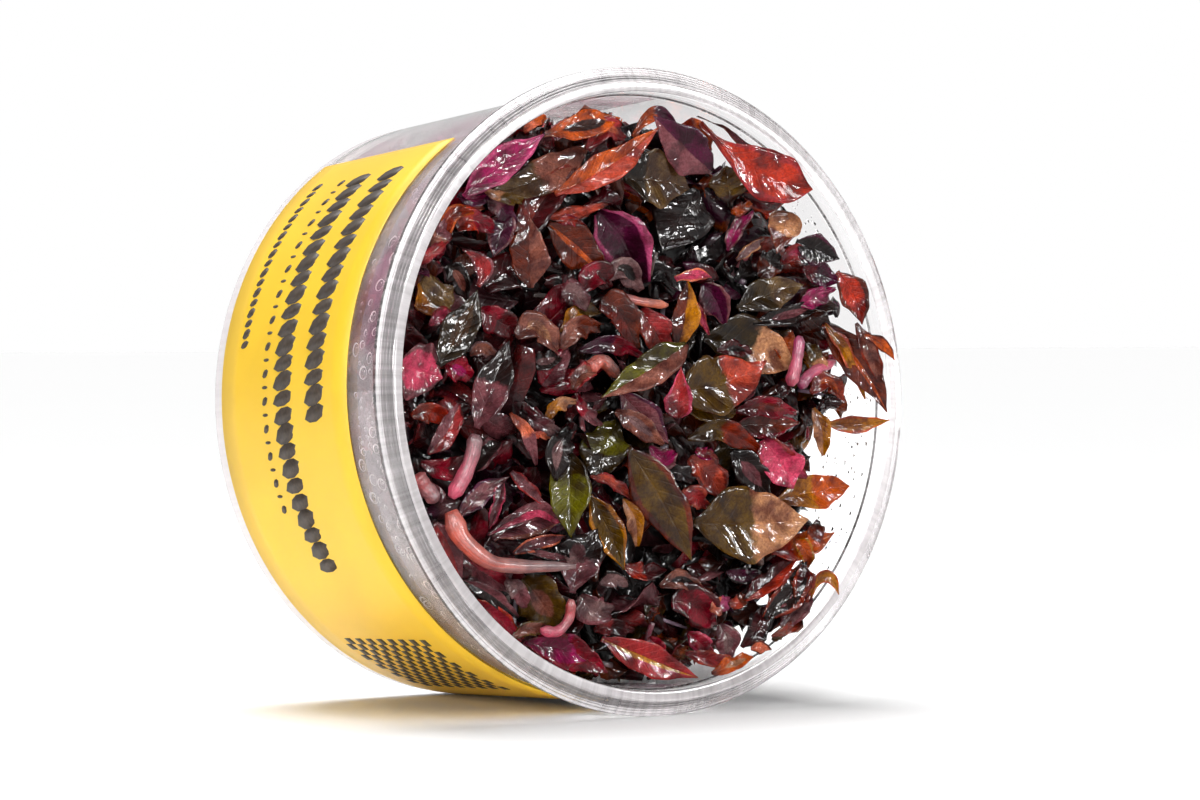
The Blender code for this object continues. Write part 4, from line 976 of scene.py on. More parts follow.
    LooseLeaf(((3.6, -31), (7.6, -31.4), (11.2, -34.8)), (2.4, 6, 6.2, 1.6),
              Tint.CRIMSON, Tint.MAROON, Marking.EDGE, 4.6),
    LooseLeaf(((10.6, -32.6), (12.4, -31.8), (14.3, -30.9)), (0.6, 2.8, 2.4, 0.5),
              Tint.PEACH, Tint.ORCHID, Marking.TIP, 2.8),
    LooseLeaf(((14, -31.4), (16, -31.6), (17.8, -30.6)), (0.6, 2.2, 2, 0.6),
              Tint.SALMON, Tint.BROWN, Marking.TIP, 3.8),
    LooseLeaf(((17.2, -31.2), (22, -28.6), (27.2, -25.2)), (0.8, 3.4, 3.2, 0.8),
              Tint.MAROON, Tint.RED_ORANGE, Marking.LEFT, 3.2),
    LooseLeaf(((26.8, -22.6), (28.8, -24), (29.4, -26.8)), (0.6, 2.6, 2.4, 0.3),
              Tint.AMBER, Tint.YELLOW_OLIVE, Marking.EDGE, 2.4),
    LooseLeaf(((28.8, -25.8), (26.2, -30), (20.8, -34.2)), (0.8, 4.2, 4.8, 1.2),
              Tint.CHARCOAL, Tint.RUST, Marking.EDGE, 2.2),
    LooseLeaf(((29, -31), (26.6, -33), (23.8, -35.6)), (0.8, 4, 4, 0.8),
              Tint.SLATE, Tint.MAUVE, Marking.EDGE, 1.2),
    LooseLeaf(((21.8, -36.8), (26, -35.4), (29.2, -32.2)), (0.5, 2, 2, 0.5),
              Tint.RUST, Tint.BROWN, Marking.EDGE, 0.9),
    LooseLeaf(((21.8, -37.2), (24.2, -37.4), (25.6, -39.4)), (0.5, 1.7, 1.5, 0.4),
              Tint.GREY_OLIVE, Tint.TAUPE, Marking.EDGE, 1.4),
    LooseLeaf(((10.4, -41.8), (14.4, -40.6), (18, -39.6)), (0.8, 2.6, 2.2, 0.5),
              Tint.AMBER, Tint.TAN, Marking.PATCH, 0.6),
    LooseLeaf(((17.8, -38.4), (19.8, -38.4), (21.8, -40.4)), (0.6, 2.2, 2, 0.4),
              Tint.PEACH, Tint.BROWN, Marking.EDGE, 1.0),
    LooseLeaf(((5.8, -38.6), (10, -39.6), (15, -40.2)), (0.6, 2.4, 2.4, 0.6),
              Tint.ROSE, Tint.SALMON, Marking.EDGE, 2.6),
    LooseLeaf(((12.2, -34.6), (13.6, -37), (12.8, -40.2)), (0.8, 3.6, 3.6, 0.8),
              Tint.MAUVE, Tint.SLATE, Marking.PATCH, 3.2),
    LooseLeaf(((6.4, -35.6), (8.6, -37.2), (10.6, -38.8)), (0.6, 3, 2.8, 0.6),
              Tint.CRIMSON, Tint.PINK, Marking.EDGE, 4.0),
    LooseLeaf(((21.8, -7.4), (24.6, -10.4), (29.8, -13.2)), (2.2, 5.4, 4.4, 0.5),
              Tint.PINK, Tint.ROSE, Marking.EDGE, 3.2),
    LooseLeaf(((31.6, -2.8), (33, -6), (33.2, -10)), (0.6, 2.6, 2.8, 0.5),
              Tint.YELLOW_OLIVE, Tint.TAN, Marking.LEFT, 3.0),
    LooseLeaf(((16.8, -3), (22, -2.4), (28.4, -3.4)), (0.8, 3.2, 3.4, 0.8),
              Tint.CRIMSON, Tint.BRICK, Marking.PATCH, 4.0),
    # Its taupe patch is painted sheen, the grey gloss of the wet blade.
    LooseLeaf(((7.6, -2.6), (12, -2.6), (16.8, -3.2)), (1.2, 5, 4.6, 0.8),
              Tint.OLIVE, Tint.TAUPE, Marking.PATCH, 3.6),
    LooseLeaf(((7.8, -7), (14, -5.8), (21.8, -9.2)), (0.8, 3.6, 3.6, 0.8),
              Tint.OLIVE, Tint.RUST, Marking.TIP, 4.0),
    LooseLeaf(((0.8, -8), (3, -10), (5.4, -9)), (0.6, 3.2, 3.2, 0.8),
              Tint.MAGENTA, Tint.MAUVE, Marking.EDGE, 4.2),
    LooseLeaf(((7.8, -10), (11, -12), (14.2, -15.8)), (1.8, 5.2, 5.2, 1.4),
              Tint.SALMON, Tint.BRICK, Marking.EDGE, 4.8),
    LooseLeaf(((9.2, -8.6), (10.8, -9.4), (12.4, -9.2)), (0.6, 2, 1.8, 0.5),
              Tint.CRIMSON, Tint.MAGENTA, Marking.EDGE, 4.0),
    LooseLeaf(((3.8, -11.6), (6.4, -12.2), (8.8, -13.2)), (0.8, 2.6, 2.4, 0.6),
              Tint.BLACK_RED, Tint.CHARCOAL, Marking.EDGE, 3.2),
    LooseLeaf(((6.2, -16.6), (8.4, -15.6), (11, -17.2)), (1, 3.4, 3.2, 0.8),
              Tint.ROSE, Tint.SALMON, Marking.EDGE, 4.2),
    LooseLeaf(((15.8, -8.8), (19, -12), (22.8, -15.8)), (0.8, 4.8, 4.6, 0.8),
              Tint.CHARCOAL, Tint.MAUVE, Marking.PATCH, 4.8),
    LooseLeaf(((1.6, -28.6), (5.6, -27.8), (9.4, -29.6)), (0.8, 3, 2.8, 0.6),
              Tint.TAUPE, Tint.CHARCOAL, Marking.PATCH, 4.4),
    LooseLeaf(((14, -26.8), (17, -27.6), (20.4, -27.4)), (0.6, 2.8, 2.6, 0.6),
              Tint.PLUM, Tint.BLACK_RED, Marking.EDGE, 4.8),
    LooseLeaf(((28.4, -26.4), (28.2, -29.4), (26.2, -33.4)), (0.8, 3.4, 3.2, 0.6), Tint.MAROON, Tint.RUST,
              Marking.EDGE, 1.8),
    LooseLeaf(((24.6, -28), (24.4, -31.6), (21.4, -36.2)), (1, 4.6, 4.4, 0.8), Tint.BLACK_RED, Tint.BROWN,
              Marking.EDGE, 3.2),
    LooseLeaf(((20.6, -32.4), (19.4, -35.4), (16.2, -38.2)), (1, 4, 3.6, 0.6), Tint.MAROON, Tint.CHARCOAL,
              Marking.EDGE, 3.4),
    LooseLeaf(((31.6, -19.8), (30.6, -22.4), (28.8, -24.6)), (0.8, 2.8, 2.6, 0.6), Tint.BROWN, Tint.AMBER,
              Marking.TIP, 2.6),
)


@dataclass(frozen=True)
class Blade:
    """Makes the thin closed form of a leaf's blade."""
    along_steps: int = 22
    across_steps: int = 12
    stalk_half: float = 0.5
    tip_half: float = 0.1
    middle_half_thickness: float = 0.13
    edge_half_thickness: float = 0.06
    groove: float = 0.10

    def half_width(self, spec: LeafSpec, along: np.ndarray) -> np.ndarray:
        """The blade's half width at each place along it."""
        power = math.log(0.5) / math.log(spec.widest)
        swell = np.clip(np.sin(math.pi * along ** power), 0, 1) ** 1.055
        least = self.stalk_half + (self.tip_half - self.stalk_half) * along
        return np.maximum(least, 0.5 * spec.width * swell)

    def marking(self, kind: Marking, across: np.ndarray, along: np.ndarray) -> np.ndarray:
        """How much of the second colour shows at each place, 0 to 1."""
        if kind is Marking.EDGE:
            return np.clip((np.abs(across) - 0.45) / 0.5, 0, 1)
        if kind is Marking.TIP:
            return np.clip((along - 0.34) / 0.35, 0, 1)
        if kind is Marking.STALK:
            return np.clip((0.5 - along) / 0.35, 0, 1)
        if kind is Marking.LEFT:
            return np.clip(0.5 - across * 2, 0, 1)
        if kind is Marking.RIGHT:
            return np.clip(0.5 + across * 2, 0, 1)
        if kind is Marking.PATCH:
            return np.clip(1.4 - 3.2 * np.hypot(across * 0.7, along - 0.55), 0, 1)
        return np.clip(1 - np.abs(across + 0.12) * 3.5, 0, 1)

    def form(self, spec: LeafSpec) -> Form:
        """Builds one large leaf where it is packed.

        Args:
            spec: The leaf's place, shape and marking.

        Returns:
            The closed form, with places in metres.
        """
        base = seen(spec.base)
        tip = seen(spec.tip)
        bend = 0.5 * (base + tip) + 2 * np.array(spec.bow)
        along = np.linspace(0, 1, self.along_steps + 1)[:, None]
        points = (1 - along) ** 2 * base + 2 * along * (1 - along) * bend + along ** 2 * tip
        slopes = (1 - along) * (bend - base) + along * (tip - bend)
        halves = self.half_width(spec, along[:, 0])
        turns = np.radians(spec.roll + spec.twist * along[:, 0])
        phase = 1.7 * spec.width + spec.base[0]
        return self.sheet(points, slopes, halves, turns, spec, phase)

    def loose_form(self, spec: "LooseLeaf") -> Form:
        """Builds one of the tangle's own leaves along its midrib."""
        last = len(spec.midrib) - 1
        places = [seen((u, v, spec.depth + 0.7 * (abs(2 * step / last - 1) ** 2)))
                  for step, (u, v) in enumerate(spec.midrib)]
        points, slopes = smooth_curve(places, self.along_steps)
        along = np.linspace(0, 1, self.along_steps + 1)
        widths = smooth_curve([np.array([width, 0.0]) for width in spec.widths], self.along_steps)[0][:, 0]
        halves = np.maximum(0.1, 0.5 * widths)
        phase = 2.3 * spec.midrib[0][0] + spec.midrib[0][1]
        turns = np.radians(10 * np.sin(phase) + 22 * np.sin(phase * 1.7) * along)
        return self.sheet(points, slopes, halves, turns, spec, phase)

    def sheet(self, points: np.ndarray, slopes: np.ndarray, halves: np.ndarray, turns: np.ndarray,
              spec: "LeafSpec | LooseLeaf", phase: float) -> Form:
        """Builds a wavy blade with toothed edges round a midrib.

        Args:
            points: The midrib's places in the mouth's frame.
            slopes: The midrib's directions.
            halves: The half width at each place.
            turns: How far the blade is turned about the midrib at each place, in radians.
            spec: Gives the fold, the wave and the marking.
            phase: Shifts the waves, so that no two blades match.

        Returns:
            The closed form, with places in metres.
        """
        steps = self.along_steps
        cross = self.across_steps
        along = np.linspace(0, 1, steps + 1)
        sideways = np.linspace(-1, 1, cross + 1)
        fold = math.radians(spec.fold)
        widest = float(halves.max())
        top = np.zeros((steps + 1, cross + 1, 3))
        under = np.zeros_like(top)
        lift = np.sqrt(sideways ** 2 + 0.02) - math.sqrt(0.02)
        which = 1.0 * (sideways > 0)
        for row, part in enumerate(along):
            axis = unit(slopes[row])
            side = around(unit(np.cross(axis, SIGHT)), axis, math.degrees(turns[row]))
            normal = unit(np.cross(side, axis))
            half = halves[row]
            fade = min(1.0, half / (0.5 * widest))
            tooth = (0.075 * np.sin(13 * part + phase + 2.2 * which) + 0.03 * np.sin(29 * part + 3 * phase + which)
                     + 0.06 * np.sin(5.3 * part + 1.3 * phase + 2.9 * which))
            ripple = (np.sin(14.5 * part + phase + 1.6 * which) + 0.5 * np.sin(31 * part + 2 * phase + 2.4 * which))
            pucker = np.sin(2.1 * sideways + 7.0 * part + phase) * np.cos(9.0 * part - 1.3 * phase + sideways)
            rise = half * math.sin(fold) * lift + spec.wave * sideways ** 2 * ripple * fade
            rise = rise + 0.1 * widest * fade * pucker
            out = half * (1 + tooth * fade * sideways ** 2) * math.cos(fold) * sideways
            middle = points[row] + np.outer(out, side) + np.outer(rise, normal)
            thick = (self.edge_half_thickness
                     + (self.middle_half_thickness - self.edge_half_thickness) * (1 - sideways ** 2))
            dip = self.groove * np.exp(-(sideways / 0.12) ** 2) * fade
            top[row] = middle + np.outer(thick - dip, normal)
            under[row] = middle - np.outer(thick + dip, normal)
        shade_grid = self.marking(spec.marking, *np.meshgrid(sideways, along))
        uv_grid = np.stack(np.meshgrid(sideways * 0.5 + 0.5, along), axis=-1)
        corners = held_inside(np.vstack([top.reshape(-1, 3), under.reshape(-1, 3)]))
        return Form(MOUTH.place(corners), blade_faces(steps, cross),
                    np.vstack([uv_grid.reshape(-1, 2)] * 2), np.tile(shade_grid.ravel(), 2))


def held_inside(points: np.ndarray) -> np.ndarray:
    """Moves places that lie in the cup's wall or beyond it just inside the wall."""
    points = points.copy()
    radius = np.hypot(points[:, 0], points[:, 1])
    limit = np.where(points[:, 2] < CUP.lip_depth, CUP.mouth - 0.35, CUP.inner(points[:, 2]) - 0.3)
    pull = np.where((points[:, 2] > -0.15) & (radius > limit), limit / np.maximum(radius, 1e-6), 1.0)
    points[:, :2] *= pull[:, None]
    return points


def smooth_curve(places: list, steps: int) -> tuple[np.ndarray, np.ndarray]:
    """Points and directions along a smooth curve through places.

    Args:
        places: The places that it passes, in order.
        steps: Number of steps along the whole curve.

    Returns:
        The points and the directions.
    """
    places = [np.asarray(place, float) for place in places]
    ends = [2 * places[0] - places[1]] + places + [2 * places[-1] - places[-2]]
    points = []
    slopes = []
    for step in range(steps + 1):
        along = step / steps * (len(places) - 1)
        start = min(int(along), len(places) - 2)
        part = along - start
        a, b, c, d = ends[start:start + 4]
        points.append(0.5 * (2 * b + (c - a) * part + (2 * a - 5 * b + 4 * c - d) * part ** 2
                             + (3 * b - a - 3 * c + d) * part ** 3))
        slopes.append(0.5 * ((c - a) + 2 * (2 * a - 5 * b + 4 * c - d) * part
                             + 3 * (3 * b - a - 3 * c + d) * part ** 2))
    return np.array(points), np.array(slopes)


def blade_faces(steps: int, cross: int) -> list:
    """The faces of a closed sheet: its front, its back and its rim.

    Args:
        steps: Number of steps along.
        cross: Number of steps across.

    Returns:
        Faces over the front's points, row by row, then the back's.
    """
    width = cross + 1
    back = (steps + 1) * width
    faces = []
    for row in range(steps):
        for column in range(cross):
            low = row * width + column
            faces.append((low, low + 1, low + width + 1, low + width))
            faces.append((back + low, back + low + width, back + low + width + 1, back + low + 1))
    for row in range(steps):
        low = row * width
        faces.append((low, low + width, back + low + width, back + low))
        low += cross
        faces.append((low, back + low, back + low + width, low + width))
    for column in range(cross):
        low = column
        faces.append((low, back + low, back + low + 1, low + 1))
        low = steps * width + column
        faces.append((low, low + 1, back + low + 1, back + low))
    return faces


@dataclass(frozen=True)
class Tube:
    """Makes the closed form of a stem."""
    steps: int = 28
    corners: int = 16

    def form(self, spec: StemSpec) -> Form:
        """Builds one stem in the mouth's frame, with slight knots and flutes."""
        points, slopes = smooth_curve([seen(place) for place in spec.route], self.steps)
        rings = []
        maps = []
        for step in range(self.steps + 1):
            part = step / self.steps
            radius = spec.radii[0] + (spec.radii[1] - spec.radii[0]) * part
            radius *= 1 + 0.06 * math.sin(9 * part + spec.radii[0]) + 0.04 * math.sin(23 * part)
            end = min(1.0, 4 * min(part, 1 - part) + 0.55)
            axis = unit(slopes[step])
            side = unit(np.cross(axis, SIGHT))
            normal = np.cross(side, axis)
            for corner in range(self.corners):
                turn = 2 * math.pi * corner / self.corners
                flute = radius * end * (1 + 0.06 * math.cos(3 * turn + 2 * part))
                rings.append(points[step] + side * flute * math.cos(turn) + normal * flute * math.sin(turn))
                maps.append((corner / self.corners, part))
        faces = []
        for step in range(self.steps):
            low = self.corners * step
            for corner in range(self.corners):
                after = (corner + 1) % self.corners
                faces.append((low + corner, low + self.corners + corner, low + self.corners + after, low + after))
        faces.append(tuple(range(self.corners)))
        faces.append(tuple(range(self.corners * (self.steps + 1) - 1, self.corners * self.steps - 1, -1)))
        maps = np.array(maps)
        return Form(MOUTH.place(np.array(rings)), faces, maps, np.clip(maps[:, 1], 0, 1))


def outward(mesh: bpy.types.Mesh) -> None:
    """Turns a closed mesh's faces outwards."""
    work = bmesh.new()
    work.from_mesh(mesh)
    bmesh.ops.recalc_face_normals(work, faces=work.faces)
    work.to_mesh(mesh)
    work.free()


class Foliage:
    """The large leaves and stems that show on their own."""

    def __init__(self) -> None:
        """Makes the finishes."""
        self.leaf_finish = LeafFinish().make("leaf_skin")
        self.stem_finish = StemFinish().make("stem_skin")

    def build(self) -> None:
        """Builds each leaf and each stem in place of its solid."""
        blade = Blade()
        for spec in LEAVES:
            self.add(spec, blade.form(spec), self.leaf_finish)
        tube = Tube()
        for spec in STEMS:
            self.add(spec, tube.form(spec), self.stem_finish)
        self.add_loose(Blade(along_steps=16, across_steps=8))

    def add_loose(self, blade: "Blade") -> None:
        """Shows the tangle's own visible leaves as one piece."""
        forms = [blade.loose_form(spec) for spec in LOOSE_LEAVES]
        whole = forms[0]
        for form in forms[1:]:
            whole = whole.joined(form)
        mesh = as_mesh("loose_leaves_form", whole)
        outward(mesh)
        for name, pick in (("tint", "tint"), ("accent", "accent")):
            values = [np.tile((*deepened(getattr(spec, pick).value, 1.3), 1.0), (len(form.points), 1))
                      for spec, form in zip(LOOSE_LEAVES, forms)]
            layer = mesh.attributes.new(name, "FLOAT_COLOR", "POINT")
            layer.data.foreach_set("color", np.vstack(values).astype(np.float32).ravel())
        piece = show("loose_leaves", mesh, self.leaf_finish)

    @staticmethod
    def add(spec: LeafSpec | StemSpec, form: Form, finish: bpy.types.Material) -> None:
        """Shows one piece in place of the solid of its name."""
        mesh = as_mesh(spec.name + "_form", form)
        outward(mesh)
        paint(mesh, "tint", deepened(spec.tint.value, 1.5))
        paint(mesh, "accent", deepened(spec.accent.value, 1.5))
        piece = show(spec.name + "_piece", mesh, finish)
        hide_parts(spec.name)


class ClearCup:
    """The clear cup with its flange, lip and base."""

    def build(self) -> None:
        """Builds the cup as one smooth turned piece."""
        floor = CUP.depth - CUP.floor
        ridges = []
        for step in range(5):
            part = 0.12 + 0.17 * step
            radius = CUP.flange + (CUP.lip - CUP.flange) * part
            depth = CUP.flange_front * (1 - part)
            ridges += [(radius, depth), (radius - 0.1, depth - 0.14), (radius - 0.22, depth - 0.10)]
        outline = [
            (0, CUP.depth),
            (CUP.base - CUP.base_edge, CUP.depth),
            (CUP.base, CUP.depth - CUP.base_edge),
            (CUP.body(48.7), 48.7),
            (CUP.body(CUP.flange_back + 0.6), CUP.flange_back + 0.6),
            (CUP.flange, CUP.flange_back),
            (CUP.flange, CUP.flange_front),
            *ridges,
            (CUP.lip, 0),
            (CUP.mouth, 0),
            (CUP.mouth - 0.15, CUP.lip_depth - 0.3),
            (CUP.inner_top, CUP.lip_depth),
            (CUP.inner_base, floor - 0.8),
            (CUP.inner_base - 0.8, floor),
            (0, floor),
        ]
        shift = len(ridges)
        radii = {1: 0.4, 2: 0.4, 4: 0.3, 5: 0.25, 6: 0.25, 7 + shift: 0.25, 8 + shift: 0.5, 9 + shift: 0.1,
                 10 + shift: 0.15, 12 + shift: 0.3}
        mesh = turned_mesh("cup_form", soften(outline, radii), 256)
        piece = show("cup_clear", mesh, ClearPlastic().make("clear_plastic_skin"))
        mesh.materials.append(FrostedPlastic(0.35, 0.68, 0.95).make("lip_plastic_skin"))
        mesh.materials.append(FrostedPlastic(0.66, 0.5, 0.86, 0.12).make("flange_plastic_skin"))
        # Painted shade: the thin edges are painted dark for the lines that the plastic's inner reflections make.
        mesh.materials.append(FrostedPlastic(0.55, 0.05, 0.4, 0.1).make("edge_plastic_skin"))
        mesh.materials.append(FrostedPlastic(0.12, 0.86, 0.95, 0.2).make("base_plastic_skin"))
        self.sort_faces(mesh)
        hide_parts("cup")

    @staticmethod
    def sort_faces(mesh: bpy.types.Mesh) -> None:
        """Gives the lip, the flange and the outside behind the label their own plastic, and the thin edges a dark
        plastic as painted shade for their dark lines.
        """
        for face in mesh.polygons:
            u, v, depth = (np.array(face.center) - MOUTH.centre) @ MOUTH.axes.T / MM
            radius = math.hypot(u, v)
            if depth > 48.6 and radius > CUP.inner_base + 0.5:
                face.material_index = 4
            elif depth < 0.12 and radius > CUP.mouth - 0.02:
                face.material_index = 1
            elif depth < CUP.flange_front + 0.05 and radius > CUP.lip - 0.1:
                face.material_index = 2
            elif radius > CUP.flange - 0.1 or CUP.lip_depth - 0.5 < depth < CUP.lip_depth and radius < CUP.mouth:
                face.material_index = 3


@dataclass(frozen=True)
class Patch:
    """A patch of the round wall: angles in degrees anticlockwise from the right, and depths."""
    first: float
    last: float
    near: float
    far: float


def wall_form(patch: Patch, radius_of: object, thickness: float, steps: tuple[int, int]) -> Form:
    """A closed thin shell that follows the wall.

    Args:
        patch: The part of the wall that it covers.
        radius_of: Gives its inner radius at a depth.
        thickness: How thick it is.
        steps: Number of steps round and along.

    Returns:
        The closed form.
    """
    turns = np.radians(np.linspace(patch.first, patch.last, steps[0] + 1))
    depths = np.linspace(patch.near, patch.far, steps[1] + 1)
    layers = []
    for extra in (thickness, 0.0):
        rows = []
        for turn in turns:
            for depth in depths:
                radius = radius_of(depth) + extra
                rows.append((radius * math.cos(turn), radius * math.sin(turn), depth))
        layers.append(np.array(rows))
    grid = np.stack(np.meshgrid(np.linspace(0, 1, steps[1] + 1), np.linspace(0, 1, steps[0] + 1)), axis=-1)
    points = MOUTH.place(np.vstack(layers))
    return Form(points, blade_faces(steps[0], steps[1]), np.vstack([grid.reshape(-1, 2)] * 2),
                np.zeros(len(points)))


@dataclass(frozen=True)
class Label:
    """The paper label round the cup's left side."""
    patch: Patch = Patch(123.75, 268.0, 12.6, 48.9)
    gap: float = 0.06
    thickness: float = 0.09

    def build(self) -> None:
        """Builds the label in place of its solid."""
        form = wall_form(self.patch, lambda depth: CUP.body(depth) + self.gap, self.thickness, (96, 8))
        mesh = as_mesh("label_form", form)
        outward(mesh)
        piece = show("label_paper_band", mesh, LabelPaper().make("label_paper_skin"))
        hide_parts("label")


@dataclass(frozen=True)
class MistOnWall:
    """The fine mist inside the wall, on the side that the label covers."""
    patch: Patch = Patch(84.0, 276.0, 3.2, 44.0)

    def build(self) -> None:
        """Builds the mist as a thin skin just inside the wall."""
        form = wall_form(self.patch, lambda depth: CUP.inner(depth) - 0.05, 0.02, (120, 10))
        mesh = as_mesh("mist_form", form)
        outward(mesh)
        piece = show("mist_inside", mesh, Mist().make("mist_skin"))


@dataclass(frozen=True)
class Gel:
    """The set gel on the cup's inner floor."""
    top: float = 44.3
    radius: float = 42.45

    def build(self) -> None:
        """Builds the gel with a slightly raised rim."""
        floor = CUP.depth - CUP.floor - 0.05
        profile = [(0, floor), (self.radius - 0.9, floor), (self.radius, floor - 0.9), (self.radius, self.top - 0.6),
                   (self.radius - 0.5, self.top - 0.1), (self.radius - 2.5, self.top + 0.2), (0, self.top)]
        piece = show("gel_disc", turned_mesh("gel_form", profile, 128), GelFinish().make("gel_skin"))
        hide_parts("nutrient_gel")


@dataclass(frozen=True)
class Zone:
    """A region of the mouth and the colours of the small leaves in it."""
    u: float
    v: float
    colours: tuple


ZONES = (
    Zone(-30, 22, (Tint.MAROON, Tint.CRIMSON, Tint.MAUVE, Tint.PLUM, Tint.BROWN)),
    Zone(-12, 32, (Tint.BROWN, Tint.MAROON, Tint.ROSE, Tint.TAUPE, Tint.CRIMSON)),
    Zone(8, 36, (Tint.AMBER, Tint.BROWN, Tint.PLUM, Tint.MAROON)),
    Zone(24, 26, (Tint.PLUM, Tint.CHARCOAL, Tint.MAROON, Tint.RED_ORANGE)),
    Zone(34, 14, (Tint.CHARCOAL, Tint.PLUM, Tint.CRIMSON, Tint.BROWN)),
    Zone(5, 20, (Tint.CHARCOAL, Tint.BLACK_RED, Tint.MAROON, Tint.PLUM)),
    Zone(-10, 12, (Tint.MAROON, Tint.CRIMSON, Tint.BROWN, Tint.MAUVE, Tint.BLACK_RED)),
    Zone(-32, 2, (Tint.CRIMSON, Tint.MAROON, Tint.MAROON, Tint.MAUVE, Tint.ROSE)),
    Zone(-24, -14, (Tint.CRIMSON, Tint.MAROON, Tint.MAUVE, Tint.PLUM)),
    Zone(0, -2, (Tint.BROWN, Tint.MAROON, Tint.MAUVE, Tint.OLIVE, Tint.BLACK_RED)),
    Zone(20, 0, (Tint.BROWN, Tint.MAROON, Tint.CRIMSON, Tint.OLIVE, Tint.CHARCOAL)),
    Zone(32, -2, (Tint.BROWN, Tint.AMBER, Tint.YELLOW_OLIVE, Tint.MAROON)),
    Zone(14, -12, (Tint.CRIMSON, Tint.BROWN, Tint.SALMON, Tint.BLACK_RED, Tint.OLIVE)),
    Zone(-18, -28, (Tint.MAROON, Tint.CRIMSON, Tint.CHARCOAL, Tint.BROWN, Tint.MAUVE)),
    Zone(4, -30, (Tint.MAROON, Tint.BLACK_RED, Tint.CRIMSON, Tint.CHARCOAL, Tint.MAUVE)),
    Zone(22, -30, (Tint.MAROON, Tint.CHARCOAL, Tint.BROWN, Tint.CRIMSON, Tint.PLUM)),
    Zone(0, -40, (Tint.BROWN, Tint.MAROON, Tint.ROSE, Tint.OLIVE, Tint.AMBER)),
)


class GeometryTree:
    """A Geometry Nodes tree with named inputs."""

    def __init__(self, name: str) -> None:
        """Makes an empty tree with a geometry output."""
        self.group = bpy.data.node_groups.new(name, "GeometryNodeTree")
        self.nodes = Nodes(self.group)
        self.group.interface.new_socket("Geometry", in_out="INPUT", socket_type="NodeSocketGeometry")
        self.group.interface.new_socket("Geometry", in_out="OUTPUT", socket_type="NodeSocketGeometry")
        self.entry = self.group.nodes.new("NodeGroupInput")
        self.exit = self.group.nodes.new("NodeGroupOutput")

    def input(self, name: str, kind: str) -> bpy.types.NodeSocket:
        """Adds a named input and gives its socket inside the tree."""
        self.group.interface.new_socket(name, in_out="INPUT", socket_type="NodeSocket" + kind)
        return self.entry.outputs[name]

    def attribute(self, name: str, kind: str) -> bpy.types.NodeSocket:
        """Reads a named attribute."""
        return self.nodes.add("GeometryNodeInputNamedAttribute", {"Name": name}, data_type=kind).outputs[0]

    def end(self, instances: bpy.types.NodeSocket, material: bpy.types.NodeSocket) -> None:
        """Makes the instances real, gives them their material and closes the tree."""
        real = self.nodes.add("GeometryNodeRealizeInstances", {0: instances}).outputs[0]
        dressed = self.nodes.add("GeometryNodeSetMaterial", {"Geometry": real, "Material": material}).outputs[0]
        self.group.links.new(dressed, self.exit.inputs[0])


def grown(name: str, seed_mesh: bpy.types.Mesh, tree: GeometryTree, values: dict) -> bpy.types.Mesh:
    """Runs a tree on a mesh and gives the plain mesh that it makes.

    Args:
        name: The new mesh's name.
        seed_mesh: What the tree starts from.
        tree: The tree.
        values: The tree's inputs by name.

    Returns:
        The plain mesh, with no instances.
    """
    carrier = bpy.data.objects.new(name + "_carrier", seed_mesh)
    bpy.context.scene.collection.objects.link(carrier)
    modifier = carrier.modifiers.new("grow", "NODES")
    modifier.node_group = tree.group
    for item in tree.group.interface.items_tree:
        if item.item_type == "SOCKET" and item.in_out == "INPUT" and item.name in values:
            modifier[item.identifier] = values[item.name]
    depsgraph = bpy.context.evaluated_depsgraph_get()
    evaluated = carrier.evaluated_get(depsgraph)
    mesh = bpy.data.meshes.new_from_object(evaluated, preserve_all_data_layers=True, depsgraph=depsgraph)
    mesh.name = name + "_form"
    bpy.data.objects.remove(carrier, do_unlink=True)
    return mesh


@dataclass(frozen=True)
class SmallLeaf:
    """The shape of one small leaf pattern, 10 mm long."""
    width: float
    fold: float
    wave: float
    widest: float
    curl: float
    twist: float


SMALL_LEAVES = (
    SmallLeaf(4.2, 14, 0.55, 0.42, 1.0, 20),
    SmallLeaf(5.2, 30, 0.90, 0.36, -0.8, -30),
    SmallLeaf(3.2, 38, 0.60, 0.46, 1.5, 60),
    SmallLeaf(4.8, 12, 1.10, 0.54, 0.5, 10),
    SmallLeaf(2.2, 22, 0.40, 0.42, 2.1, -50),
    SmallLeaf(5.8, 24, 1.40, 0.40, -1.2, 25),
    SmallLeaf(6.0, 40, 0.70, 0.62, 0.9, -15),
    SmallLeaf(7.4, 30, 1.60, 0.52, 1.3, 70),
    SmallLeaf(6.6, 20, 1.80, 0.60, -1.6, -60),
)


TWIGS = ((0.45, 0.6), (0.3, 1.4), (0.6, -0.9))


